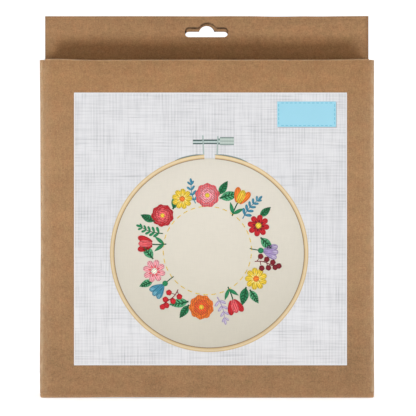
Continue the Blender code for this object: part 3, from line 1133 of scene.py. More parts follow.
    def _crush(self, x: Array, y: Array, z: Array) -> Array:
        """How far the die has crushed the header near its cut edges.

        It eases from 1 at the header's top, ends and slot to 0 at crush_depth from them.

        Args:
            x: each point's plan x.
            y: its plan y.
            z: its height.

        Returns:
            The share of each point, 0 to 1.
        """
        nearest = np.minimum(HEADER_TOP_Z - z, HEADER_HALF_WIDTH - np.abs(x))
        nearest = np.minimum(nearest, self.front_slot.clearance(x, z))
        header = (y > PLIES_FROM_Y) & (z > SLIT_TOP_Z - 0.01)
        return np.where(header, smooth(1.0 - nearest / self.crush_depth), 0.0)

    def _tone(self, x: Array, y: Array, z: Array) -> Array:
        """How much lighter or darker the board is painted, for die lines and for painted light and shade.

        On the header's front ply it is 0.11 lighter as painted light, with a table over the distance from the
        top for the faint lines that the die leaves, the lid's painted shade, painted light beside that shade
        on the left, a painted shade at the header's lower ends, a darkening at its very ends and a painted
        shade line above its slot.
        The rear ply has only the top line. On the front it is a table over height, a painted shade that is
        darker towards the bottom and a little darker to the right.

        Args:
            x: each point's plan x.
            y: its plan y.
            z: its height.

        Returns:
            The tone of each point.
        """
        depth, from_end = HEADER_TOP_Z - z, HEADER_HALF_WIDTH - np.abs(x)
        line_depths = (0.0, 0.6, 1.2, 1.8, 2.4, 3.6, 6.0, 8.5, 10.5, 11.5)
        line_tones = (-0.09, -0.14, 0.05, -0.17, -0.06, -0.06, 0.04, 0.06, 0.02, 0.0)
        lines = np.interp(depth, line_depths, line_tones)
        shade_depths = (10.5, 12.5, 14.0, 17.0, 20.0, 23.0, 26.0, 28.4)
        shade = np.interp(depth, shade_depths, (0.0, -0.07, -0.10, -0.06, -0.04, -0.12, -0.33, -0.42))
        above_slot = np.where(z > sum(self.front_slot.outline(x)) / 2, self.front_slot.clearance(x, z), 9.0)
        # Darker within 1.2 mm of the header's very ends, and a painted shade line just above the slot's upper
        # edge.
        darkened_ends_and_slot_shade = 0.12 * smooth(1 - from_end / 1.2) + 0.30 * smooth(1 - above_slot / 0.6)
        under = under_lid_shade(x, z)
        # Painted light beside the lid's shade at the left end, a painted shade at the header's lower ends,
        # and the front ply painted 0.11 lighter all over.
        beside = 0.07 * (1 - under) * smooth((depth - 11.0) / 4.0) * (x < 0)
        corner = (0.21 - 0.11 * np.sign(x)) * smooth((201.0 - z) / 4.0) * smooth(1 - from_end / 9.0)
        front_ply = 0.11 + lines + shade * under + beside - corner - darkened_ends_and_slot_shade
        in_header = np.where(y > REAR_PLY_FROM_Y, 0.3 * lines * (depth < self.edge_bands[0]), front_ply)
        # On the front, a painted shade: darker towards the bottom and a little to the right.
        heights = (0, 14, 30, 52, 80, 120, 183.5, 188.5)
        fall = np.interp(z, heights, (-0.09, -0.11, -0.09, -0.07, -0.03, 0.01, 0.02, -0.04))
        on_front = (fall - 0.02 * smooth((x - 50) / 40)) * smooth((4.0 - y) / 18.0)
        return np.where((y > PLIES_FROM_Y) & (z > SLIT_TOP_Z - 0.01), in_header, on_front)

    def _slot_shade(self, points: Array) -> Array:
        """The painted shade on the rear ply's face where the front ply shades it, with painted light round
        it.

        It is a painted shade of 0.82 up to 0.6 mm inside the front ply's slot, easing out over 0.35 mm, and a
        painted shade of 0.7 at the rear slot's edge, easing out over 0.4 mm. The face is painted 0.17 lighter
        all round there.

        Args:
            points: the shell's points.

        Returns:
            What to add to each one's tone.
        """
        x, y, z = points.T
        front, rear = self.front_slot, self.rear_slot
        inside = np.minimum(front.outline(x)[1] - z, front.half_width - np.abs(x - front.centre_x))
        # Painted shade of the front ply on the rear ply, and a painted dark rim at the rear slot's edge.
        shaded = 0.82 * smooth(1 - (inside - 0.6) / 0.35)
        rim = 0.7 * smooth(1 - (z - rear.outline(x)[1]) / 0.4)
        near = (np.abs(x - front.centre_x) < front.half_width + 1.5) & (np.abs(z - 212.5) < 6.0)
        facing = (y > REAR_PLY_FROM_Y) & (y < 16.95)
        return np.where(near & facing, 0.17 - np.maximum(shaded, rim), 0.0)

    def core(self, sheet: BoardSheet) -> list[MeshParts]:
        """Fluting for the header's top edges, the slots' edges and the back panels' feet.

        Args:
            sheet: the carton's blank.

        Returns:
            The fluting ribbons.
        """
        ribbons = []
        ends = sheet.edges()
        (start_row, start), (stop_row, stop) = (np.divmod(end, sheet.groove.shape[1]) for end in ends.T)
        level = (start_row == stop_row) & (sheet.groove.reshape(-1)[ends] > 0.5).all(axis=1)
        for row in np.unique(start_row[level]):
            for inwards in (1.0, -1.0):
                facing = level & (start_row == row) & (np.sign(stop - start) == inwards)
                cells = np.sort(np.minimum(start, stop)[facing])
                for group in np.split(cells, np.nonzero(np.diff(cells) > 1)[0] + 1):
                    if len(group):
                        place = row, np.append(group, group[-1] + 1)
                        outer, inner, flute = sheet.outer[place], sheet.inner[place], sheet.flute[place]
                        ribbons.append(fluting(outer, inner, flute, inwards))
        return ribbons

    def build(self, kraft: Material) -> Piece:
        """Make the shell, ride it on the carton and let it stand for the wrap and back panels.

        Args:
            kraft: its finish.

        Returns:
            The piece.
        """
        sheet = self.sheet()
        blank = sheet.parts()
        header = (blank.points[:, 2] > SLIT_TOP_Z - 0.05) & (blank.points[:, 1] > PLIES_FROM_Y)
        blank.marks["inside"] = np.where(header, 0.0, blank.marks["inside"])
        blank.marks["tone"] += self._slot_shade(blank.points)
        made = made_object("carton_shell", warmed(joined([blank, *self.core(sheet)])), kraft)
        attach(made, "carton")
        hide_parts("carton_wrap", "back_panel_inner", "back_panel_outer")
        return made


# -------------------- folded closures


def swept_sheet(
    run: Run, across: Array, half: Array, crease: Array, groove: Array, tone: Array | float, reshape: Reshape
) -> BoardSheet:
    """A folded flap: a profile in y and z carried along x, then reshaped.

    A point's x is its column's share times its row's half width.

    Args:
        run: the profile on the outer liner, and its outward directions.
        across: each column's share.
        half: each row's half width.
        crease: each row's crease share.
        groove: 1 for rows whose ends are cut board, 0 where they meet a neighbour.
        tone: each row's tone.
        reshape: a last change of the points.

    Returns:
        The flap's sheet.
    """
    x = half[:, None] * across
    ones = np.ones_like(x)
    profile, away = (np.stack([ones * side[:, :1], ones * side[:, 1:]], -1) for side in run)
    outer = np.concatenate([x[..., None], profile], axis=-1)
    inner = outer - BOARD * np.concatenate([0 * x[..., None], away], axis=-1)
    crease, groove, tone = (ones * np.reshape(row, (-1, 1)) for row in (crease, groove, tone))
    return BoardSheet(reshape(outer), reshape(inner), ones[1:, 1:] > 0, groove, x, crease, tone)


def tip_ribbon(sheet: BoardSheet, row: int) -> MeshParts:
    """Fluting in the cut end of a flap.

    Args:
        sheet: the flap's sheet.
        row: its end row, 0 or -1.

    Returns:
        The ribbon.
    """
    middle = (sheet.outer + sheet.inner) / 2
    inwards = middle[1 if row == 0 else -2] - middle[row]
    return fluting(sheet.outer[row], sheet.inner[row], sheet.flute[row], inwards)


def rounded_tip(half_width: float, radius: float, from_tip: Array) -> Array:
    """Half width of a flap with rounded corners: half_width, less the circle's inset near the tip."""
    into = np.clip(radius - from_tip, 0.0, radius)
    return half_width - radius + np.sqrt(radius**2 - into**2)


@dataclass
class TuckLid:
    """The lid: front strip, front crease, top panel, rear bend and tuck flap in one sheet."""

    crown_z: float = 192.48
    crown_radius: float = 1.15
    rear_radius: float = 1.8
    rear_bend_y: float = 12.2
    tuck_slant: float = 12.0
    tuck_length: float = 12.5
    tuck_half_width: float = 90.3
    lid_half_width: float = 91.9
    corner_radius: float = 6.0
    blend_low_z: float = 189.9
    blend_reach: float = 1.45

    def _rise(self, x: Array) -> Array:
        """How far the front crease stands above its usual height, by a table over x."""
        places = (-92, -90.8, -89, -84, -76, -72, -61, -40, -16, -4, 6, 64, 75, 81, 84.3, 90, 92)
        rises = (0.45, 0.62, 0.5, 0.5, 0.2, -0.02, -0.08, 0, 0.05, 0.12, 0.02, 0, 0.14, 0.34, 0.4, 0.5, 0.45)
        return np.interp(x, places, rises)

    def _reshape(self, points: Array) -> Array:
        """Raise the crease by its table near the front, dish the top by a tenth or two, and settle it.

        Args:
            points: points of the folded lid.

        Returns:
            The shifted points.
        """
        x, y, z = np.moveaxis(points, -1, 0)
        near_front = smooth((z - 190.4) / 1.6) * (1 - smooth((y - FRONT_Y - 3.0) / 12.0))
        over = smooth((z - 189.5) / 2.0) * np.clip((y - FRONT_Y) / 6.0, 0, 1)
        dish = -0.28 * half_wave(x + SIDE_X, 2 * SIDE_X) ** 2 * half_wave(y - FRONT_Y, 31.0)
        return settled(np.stack([x, y, z + near_front * self._rise(x) + over * dish], axis=-1))

    def sheet(self) -> BoardSheet:
        """Fold the lid: straight strip, crown arc, nearly flat top, rear arc, slanted tuck.

        Returns:
            The lid's sheet.
        """
        r, rear_r, crown_y = self.crown_radius, self.rear_radius, FRONT_Y + self.crown_radius
        slant = math.radians(self.tuck_slant)
        strip = line((FRONT_Y, FRONT_SEAM_HIGH_Z), (FRONT_Y, self.crown_z - r), (-1, 0), 5)
        crown = arc((crown_y, self.crown_z - r), r, 180, 90, 8)
        top = line((crown_y, self.crown_z), (self.rear_bend_y, LID_TOP_Z), (0, 1), 15)
        top[0][:, 1] = self.crown_z + (LID_TOP_Z - self.crown_z) * smooth((top[0][:, 0] - crown_y) / 9.0)
        rear = arc((self.rear_bend_y, LID_TOP_Z - rear_r), rear_r, 90, -self.tuck_slant, 9)
        end = rear[0][-1]
        tip = end + self.tuck_length * np.array([-math.sin(slant), -math.cos(slant)])
        tuck = line(end, tip, (math.cos(slant), -math.sin(slant)), 9, 1.6)
        run = chained(strip, crown, top, rear, tuck)
        along = travelled(run[0])
        place, from_tip = np.arange(len(along)), along[-1] - along
        crown_start = len(strip[0]) - 1
        top_start = crown_start + len(crown[0]) - 1
        bend = top_start + len(top[0]) - 1
        narrowing = (self.lid_half_width - self.tuck_half_width) * smooth((along - along[bend]) / 2.4)
        half = self.lid_half_width - narrowing
        half[: crown_start + 1] = np.linspace(SEAM_X, SEAM_X - 0.06, crown_start + 1)
        near = from_tip < self.corner_radius
        half[near] = rounded_tip(self.tuck_half_width, self.corner_radius, from_tip[near])
        # The crown and rear bend go pale, partly as crease wear and partly as a painted highlight.
        crease = np.interp(place - crown_start, (0, 1, 2, 3, 7, 8, 9, 10), (0, 0.1, 0.6, 1, 1, 0.8, 0.2, 0))
        crease[bend: bend + len(rear[0])] = 0.8
        crease = np.maximum(crease, 0.5 * smooth(1 - from_tip / 2.0))
        # Darker just below the crown, and a painted highlight along the crown arc.
        darker_below_crown = np.interp(along[crown_start] - along, (0.0, 1.0, 2.8), (-0.04, -0.07, -0.04))
        tone = darker_below_crown * (place <= crown_start)
        tone[crown_start + 1: crown_start + 10] = (0.08, 0.28, 0.44, 0.5, 0.5, 0.5, 0.48, 0.34, 0.1)
        across = np.concatenate([[-1.0], np.linspace(-0.992, 0.992, 59), [1.0]])
        groove = (place > top_start - 1).astype(float)
        made = swept_sheet(run, across, half, crease, groove, tone, self._reshape)
        on_strip = (place <= crown_start + 3)[:, None]
        made.crease = np.maximum(made.crease, fold_tail(made.outer[..., 0]) * on_strip)
        return made

    def build(self, kraft: Material) -> Piece:
        """Make the lid and let it stand for the CAD's top lid and its tuck flap.

        Args:
            kraft: its finish.

        Returns:
            The piece.
        """
        sheet = self.sheet()
        made = made_object("tuck_lid", warmed(joined([sheet.parts(), tip_ribbon(sheet, -1)])), kraft)
        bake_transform(made)
        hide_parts("top_lid", "top_tuck_flap")
        return made


@dataclass
class BottomClosure:
    """The glued bottom: tuck inside the back, bottom panel, rounded front fold, front strip."""

    rear_radius: float = 1.8
    tuck_top_z: float = 14.3
    tuck_y: float = 14.2
    fold_height: float = 1.5
    fold_depth: float = 1.0
    half_width: float = 94.7
    tuck_half_width: float = 90.3
    corner_radius: float = 6.0

    def _lift(self, x: Array) -> Array:
        """How far the front fold's underside stands off the table, by a table over x."""
        places = (-94.5, -84, -72, -61, -49.5, -32.4, -16, 1.5, 18, 95)
        return np.interp(x, places, (0.0, 0.0, 0.07, 0.24, 0.33, 0.26, 0.2, 0.03, 0.0, 0.0))

    def _reshape(self, points: Array) -> Array:
        """Turn the fold in at the front corners, round its ends, lift its underside, and settle it.

        Args:
            points: points of the folded bottom.

        Returns:
            The shifted points.
        """
        x, y, z = np.moveaxis(points, -1, 0)
        out = np.clip(np.abs(x) - (SIDE_X - UPRIGHT_FOLD), 0.0, 2.45)
        turn = UPRIGHT_FOLD - np.sqrt(UPRIGHT_FOLD**2 - out**2)
        at_front = 1 - smooth((y - FRONT_Y) / 4.0)
        radius = np.where(x < 0, 0.7, 0.35)
        into_end = np.clip(np.abs(x) - self.half_width + radius, 0.0, radius)
        tipped = radius - np.sqrt(np.maximum(radius**2 - into_end**2, 0.0))
        lift = (self._lift(x) * at_front + tipped) * (1 - smooth(z / 3.0))
        return settled(np.stack([x, y + turn * at_front, z + lift], axis=-1))

    def sheet(self) -> BoardSheet:
        """Fold the bottom: tuck down, rear arc, flat bottom, elliptic front fold, strip up.

        Returns:
            The bottom's sheet.
        """
        r, depth, height = self.rear_radius, self.fold_depth, self.fold_height
        tuck = line((self.tuck_y, self.tuck_top_z), (self.tuck_y, r), (1, 0), 8)
        rear = arc((self.tuck_y - r, r), r, 0, -90, 8)
        flat = line((self.tuck_y - r, 0.0), (FRONT_Y + depth, 0.0), (0, -1), 14)
        angle = np.linspace(0, np.pi / 2, 10)
        folded = np.stack([FRONT_Y + depth * (1 - np.sin(angle)), height * (1 - np.cos(angle))], -1)
        fold = folded, unit(np.stack([-np.sin(angle) * height, -np.cos(angle) * depth], -1))
        rise = (height, 2.3, SIDE_LOW_Z - 0.2, SIDE_LOW_Z - 0.13, 4.4, 5.6, 6.8, FRONT_SEAM_LOW_Z)
        strip = line((FRONT_Y, 0.0), (FRONT_Y, 0.0), (-1, 0), len(rise))
        strip[0][:, 1] = rise
        run = chained(tuck, rear, flat, fold, strip)
        in_tuck, count = len(tuck[0]), len(run[0])
        half = np.full(count, self.half_width)
        from_tip = self.tuck_top_z - tuck[0][:, 1]
        half[:in_tuck] = rounded_tip(self.tuck_half_width, self.corner_radius, from_tip)
        half[in_tuck: in_tuck + 6] = np.linspace(self.tuck_half_width, self.half_width, 6)
        half[-5:] = SEAM_X
        strip_start = count - len(rise) + 1
        in_fold = slice(strip_start - len(angle), strip_start)
        # The bottom is a little darker all over; on the front fold a painted light, as bounced from the
        # floor, lightens it most at its underside, and its crease paleness there is partly a painted
        # highlight.
        crease, groove, tone = np.zeros(count), np.ones(count), np.full(count, -0.08)
        crease[in_tuck - 1: in_tuck + len(rear[0])] = 0.7
        crease[in_fold] = np.linspace(0.9, 0.12, len(angle))
        groove[strip_start:] = 0.0
        tone[in_fold] = np.interp(np.arange(len(angle)), (0, 3, 5, 7, 9), (0.7, 0.65, 0.36, 0.08, -0.06))
        edge = np.array([-1.0, -0.9985, -0.9965, -0.993, -0.985, -0.975])
        across = np.concatenate([edge, np.linspace(-0.955, 0.955, 41), -edge[::-1]])
        made = swept_sheet(run, across, half, crease, groove, tone, self._reshape)
        on_strip = (np.arange(count) >= strip_start)[:, None]
        made.crease = np.maximum(made.crease, fold_tail(made.outer[..., 0]) * on_strip)
        return made

    def build(self, kraft: Material) -> Piece:
        """Make the bottom and let it stand for the bottom panel and its tuck flap.

        Args:
            kraft: its finish.

        Returns:
            The piece.
        """
        sheet = self.sheet()
        made = made_object("bottom_closure", joined([sheet.parts(), tip_ribbon(sheet, 0)]), kraft)
        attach(made, "carton")
        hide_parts("bottom_panel", "bottom_tuck_flap")
        return made


class Side(Enum):
    """Which side of the carton a dust flap is on, as a sign of x."""

    LEFT = -1
    RIGHT = 1


class End(Enum):
    """Which end of the carton a dust flap closes."""

    TOP = "top"
    BOTTOM = "bottom"


@dataclass
class DustFlap:
    """A dust flap: it leaves the side panel through a bend and lies level across the opening.

    Args:
        side: the side panel it is creased from.
        end: the end that it closes.
    """

    side: Side
    end: End
    top_z: float = 191.3
    bottom_z: float = 1.5
    bend_radius: float = 1.5
    length: float = 32.0
    front_y: float = -13.65
    rear_y: float = 9.0
    corner_radius: float = 6.0

    def _reshape(self, points: Array) -> Array:
        """Turn the flap across the carton, let its end hang, and mirror it to its own place.

        Args:
            points: points of the flap, with its width along x and its profile in y and z.

        Returns:
            The shifted points.
        """
        across, x, z = np.moveaxis(points, -1, 0)
        z = z - 0.25 * smooth((x + 88.0) / 24.0)
        if self.end is End.BOTTOM:
            z = np.minimum(self.bottom_z + self.top_z - z, SIDE_LOW_Z)
        x = x if self.side is Side.LEFT else -x
        return settled(np.stack([x, (self.rear_y + self.front_y) / 2 + across, z], axis=-1))

    def sheet(self) -> BoardSheet:
        """Fold the flap as if on the left at the top, then put it in its own place.

        Returns:
            The flap's sheet.
        """
        r, top = self.bend_radius, self.top_z
        rise = line((-SIDE_X, SIDE_HIGH_Z), (-SIDE_X, top - r), (-1, 0), 3)
        bend = arc((-SIDE_X + r, top - r), r, 180, 90, 8)
        over = line((-SIDE_X + r, top), (-SIDE_X + self.length, top), (0, 1), 12, 1.5)
        run = chained(rise, bend, over)
        from_tip = run[0][-1, 0] - run[0][:, 0]
        half = rounded_tip((self.rear_y - self.front_y) / 2, self.corner_radius, from_tip)
        crease, groove = np.zeros(len(half)), np.ones(len(half))
        crease[1: len(rise[0]) + len(bend[0])] = 0.85
        crease = np.maximum(crease, 0.5 * smooth(1 - from_tip / 2.0))
        groove[0] = 0.0
        made = swept_sheet(run, np.linspace(1.0, -1.0, 9), half, crease, groove, 0.0, self._reshape)
        made.flute = -made.outer[..., 1]
        return made.flipped(self.end is End.BOTTOM, self.side is Side.RIGHT)

    def build(self, kraft: Material) -> Piece:
        """Make the flap; it stays on the carton and stands for its CAD flap.

        Args:
            kraft: its finish.

        Returns:
            The piece.
        """
        sheet = self.sheet()
        tip = 0 if self.end is End.BOTTOM else -1
        name = f"{self.end.value}_flap_{self.side.name.lower()}"
        made = made_object(name, joined([sheet.parts(), tip_ribbon(sheet, tip)]), kraft)
        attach(made, "carton")
        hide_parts(f"{self.end.value}_dust_flap_{self.side.name.lower()}")
        return made


# -------------------- label and print


LABEL_FACE_Y = -17.02
LABEL_BACK_Y = -16.76
FILM_STEP = 0.022
FILM_FOOT_Y = LABEL_FACE_Y + 0.01
OUTLINE_POINTS = 32
ROUND = np.linspace(0, 2 * np.pi, OUTLINE_POINTS, endpoint=False)


@dataclass(frozen=True)
class Placement:
    """Where a printed shape goes on the label: x and z of its root, turn in degrees, and scale."""

    x: float
    z: float
    turn: float = 0.0
    scale: float = 1.0

    def applied(self, points: Array) -> Array:
        """Scale, turn and shift points of (..., 2)."""
        ahead = polar(self.turn)
        return points @ np.stack([ahead, (-ahead[1], ahead[0])]) * self.scale + (self.x, self.z)

    def within(self, x: float, z: float, turn: float = 0.0, scale: float = 1.0) -> Placement:
        """A placement given inside this one."""
        return Placement(*self.applied(np.array([x, z])), self.turn + turn, self.scale * scale)


def petal(length: float, width: float, fullness: float = 0.5) -> Array:
    """Outline of a petal from the origin along +x, wider in its outer half by fullness."""
    # With angle a round it, x is length times half of 1 less cosine a, and z is half the width times
    # sine a times a share that grows with x by fullness.
    x = (1 - np.cos(ROUND)) / 2
    return np.stack([length * x, width / 2 * np.sin(ROUND) * (1 - fullness + fullness * x * 1.25)], -1)


def blade(length: float, width: float, belly: float = 0.8) -> Array:
    """Outline of a leaf that is pointed at both ends, from the origin along +x.

    With u from 0 to 1 along it, its half width is half the width times sine of pi times u to the
    power belly.

    Args:
        length: how far it reaches.
        width: how wide it is.
        belly: below 1, how near the root it is widest.

    Returns:
        The outline's points.
    """
    out = np.arange(OUTLINE_POINTS // 2) / (OUTLINE_POINTS // 2)
    u, side = np.concatenate([out, 1 - out]), np.repeat([-1.0, 1.0], len(out))
    return np.stack([length * u, side * width / 2 * np.sin(np.pi * u**belly)], -1)


def disc(radius: float, lobes: int = 0, wave: float = 0.0) -> Array:
    """Outline of a disc whose radius swings by wave times the cosine of lobes times the angle."""
    return (radius * (1 + wave * np.cos(lobes * ROUND)))[:, None] * polar(np.degrees(ROUND))


def level_rails(xs: Array, heights: Sequence[float]) -> Array:
    """Level lines over the same places, one at each height, as (lines, points, 2)."""
    return np.stack(np.meshgrid(xs, heights), -1)


class Palette(Enum):
    """Thread colours of the picture, as display colours."""

    CORAL = (244, 104, 110)
    BLUSH = (250, 168, 176)
    CRIMSON = (206, 24, 36)
    WINE = (128, 14, 30)
    ORANGE = (250, 128, 40)
    FLAME = (238, 92, 40)
    SUN = (244, 208, 62)
    STRAW = (250, 228, 130)
    LEAF = (88, 182, 128)
    JADE = (32, 140, 88)
    FOREST = (0, 84, 44)
    LAGOON = (62, 142, 170)
    SKY = (112, 176, 198)
    LAVENDER = (196, 182, 214)
    LILAC = (172, 150, 200)
    CREAM = (250, 244, 226)

    def ink(self) -> Array:
        """The colour in linear light."""
        return np.array(linear(*self.value))


@dataclass
class InkFilms:
    """Printed shapes of one finish, gathered up and then made one piece.

    Films are closed: a filled shape is a low prism fanned from its middle, and a stroke is a low
    strip between two side lines. Higher levels stand a little prouder, so later ink covers earlier.

    Args:
        kind: the finish.
        lift: what is added to the level of each shape, so that neighbours don't meet on one level.
        fills: outline, colour, level, stitches' direction and padding of each filled shape.
        bands: rails, colours, level and tones of each strip.
    """

    kind: Ink
    lift: float = 0.0
    fills: list[tuple[Array, Array, float, float, float]] = field(default_factory=list)
    bands: list[tuple[Array, Array, float, Array]] = field(default_factory=list)

    def fill(self, outline: Array, colour: Array, level: float, turn: float, padding: float) -> None:
        """Add an outline with its colour, level, stitches' direction in degrees, and padding."""
        self.fills.append((outline, colour, level + self.lift, turn, padding))

    def band(self, rails: Array, colours: Array, level: float, tones: Array | float = 1.0) -> None:
        """Add a strip whose rails run side by side, from right to left of its direction.

        Args:
            rails: lines of points, (rails, n, 2).
            colours: linear colours, one, one a rail, or one a point.
            level: height step of the film.
            tones: brightness shares, which broadcast to (rails, n).
        """
        shape = rails.shape[:2]
        colours = colours if colours.ndim == 3 else np.reshape(colours, (-1, 1, 3))
        tones = np.broadcast_to(tones, shape)
        self.bands.append((rails, np.broadcast_to(colours, (*shape, 3)), level + self.lift, tones))

    def stroke(self, run: Array, width: float | Array, colour: Array, level: float) -> None:
        """Add a stitched line, with a side line half its width to each side.

        Args:
            run: its points of x and z.
            width: its width, all along or at each point.
            colour: linear colour.
            level: height step of the film.
        """
        ahead = unit(np.gradient(run, axis=0))
        side = np.stack([ahead[:, 1], -ahead[:, 0]], -1) * (np.asarray(width).reshape(-1, 1) / 2)
        tones = np.array([0.86, 1.12, 0.9])[:, None]
        self.band(np.stack([run + side, run, run - side]), colour, level, tones)

    def _fill_parts(self) -> list[MeshParts]:
        """Fan every filled shape from its middle, with a wall down to the paper.

        Returns:
            All the filled shapes as one part, or nothing where there are none.
        """
        if not self.fills:
            return []
        outline, colour, level, turn, padding = (np.array(column) for column in zip(*self.fills))
        n = outline.shape[1]
        middle = outline.mean(axis=1, keepdims=True)
        flat = np.concatenate([outline, (middle + outline) / 2, middle, outline, middle], axis=1)
        low, count = 2 * n + 1, flat.shape[1]
        y = np.where(np.arange(count) < low, (LABEL_FACE_Y - FILM_STEP * level)[:, None], FILM_FOOT_Y)
        points = np.stack([flat[..., 0], y, flat[..., 1]], -1).reshape(-1, 3)
        k = np.arange(n)
        nxt = (k + 1) % n
        rim, wall = (k, nxt, n + nxt, n + k), (low + k, low + nxt, nxt, k)
        top = (n + k, n + nxt, np.full(n, 2 * n))
        under = (low + nxt, low + k, np.full(n, low + n))
        quads, fans = (np.hstack(pair).T for pair in ((rim, wall), (top, under)))
        base = (np.arange(len(flat)) * count)[:, None, None]
        across = polar(turn + 90.0)[:, None]
        shares = np.repeat([-1.0, 0.45, 1.0, 0.0], [n, n, 1, n + 1])
        marks = {
            "ink": np.repeat(colour, count, axis=0),
            "tone": (1 + padding[:, None] * shares).reshape(-1),
            "strand": ((flat - middle) * across).sum(-1).reshape(-1),
        }
        return [MeshParts(points, (quads + base).reshape(-1, 4), marks, (fans + base).reshape(-1, 3))]

    def _band_parts(self) -> list[MeshParts]:
        """Skin every strip, with walls down to the paper and closed ends.

        Returns:
            One part a strip.
        """
        made = []
        for rails, colours, level, tones in self.bands:
            count, length = rails.shape[:2]
            ring = np.concatenate([rails, rails[::-1]])
            heights = np.repeat([LABEL_FACE_Y - FILM_STEP * level, FILM_FOOT_Y], count)
            y = np.repeat(heights[:, None], length, axis=1)
            index = np.arange(2 * count * length).reshape(2 * count, length)
            after = np.roll(index, -1, axis=0)
            skin = np.stack([index[:, :-1], index[:, 1:], after[:, 1:], after[:, :-1]], -1).reshape(-1, 4)
            k = np.arange(count - 1)
            start = np.stack([index[k, 0], index[k + 1, 0], index[-2 - k, 0], index[-1 - k, 0]], -1)
            stop = np.stack([index[k + 1, -1], index[k, -1], index[-1 - k, -1], index[-2 - k, -1]], -1)
            marks = {
                "ink": np.concatenate([colours, colours[::-1]]).reshape(-1, 3),
                "tone": np.concatenate([tones, tones[::-1]]).reshape(-1),
                "strand": np.tile(travelled(rails[count // 2]), 2 * count),
            }
            points = np.stack([ring[..., 0], y, ring[..., 1]], -1).reshape(-1, 3)
            made.append(MeshParts(points, np.concatenate([skin, start, stop]), marks))
        return made

    def build(self, name: str) -> Piece:
        """Make the films one piece on the label.

        Args:
            name: the piece's name.

        Returns:
            The piece.
        """
        parts = joined(self._fill_parts() + self._band_parts())
        made = made_object(name, parts, self.kind.value.material(self.kind.name.lower()))
        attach(made, "carton")
        return made


@dataclass
class FrontLabel:
    """The square paper label, a little right of the middle, with its corners barely lifted."""

    centre_x: float = 2.0
    centre_z: float = 96.1
    width: float = 155.2
    height: float = 155.1
    bare_edge: float = 0.42

    def _stations(self, size: float) -> Array:
        """Places across the sheet, with the bare edge's own lines.

        Args:
            size: the sheet's width or height.

        Returns:
            The places, rising, from its middle.
        """
        half = size / 2
        rim = np.array([-half, -half + self.bare_edge, -half + self.bare_edge + 0.25])
        return np.concatenate([rim, np.linspace(-half + 2.0, half - 2.0, 60), -rim[::-1]])

    def build(self) -> Piece:
        """Make the paper as a thin closed grid.

        Front points are a grid in x and z; within 5 mm of a corner they lift off the board by up
        to 0.05 mm. The outermost ring is marked as bare paper.

        Returns:
            The piece.
        """
        x, z = np.meshgrid(self._stations(self.width), self._stations(self.height))
        corner = smooth(1 - np.hypot(self.width / 2 - np.abs(x), self.height / 2 - np.abs(z)) / 5.0)
        lift = 0.05 * corner + 0.008 * np.sin(x / 9.0) * np.sin(z / 13.0)
        outer, inner = (
            np.stack([x + self.centre_x, y, z + self.centre_z], -1)
            for y in (LABEL_FACE_Y - lift, LABEL_BACK_Y - lift * corner)
        )
        none = np.zeros_like(x)
        parts = BoardSheet(outer, inner, none[1:, 1:] == 0, none, x, none).parts()
        across, _, height = parts.points.T
        from_middle = np.abs(np.stack([across - self.centre_x, height - self.centre_z], -1))
        from_edge = (np.array([self.width, self.height]) / 2 - from_middle).min(axis=1)
        # The paper's tone is painted light and shade: lighter at its foot and top, darker between 80 and 120
        # mm up, and a little lighter to the right.
        heights = (18, 26, 44, 62, 81, 99, 117, 135, 152, 172)
        tone = np.interp(height, heights, (1.05, 1.045, 1.03, 1.0, 0.985, 0.975, 0.97, 1.0, 1.02, 1.03))
        parts.marks = {
            "edge": (from_edge < self.bare_edge + 0.05).astype(float),
            "tone": tone + 0.01 * (across - self.centre_x) / self.width,
        }
        made = made_object("front_label_paper", parts, LinenPaper().material())
        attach(made, "carton")
        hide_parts("front_label")
        return made


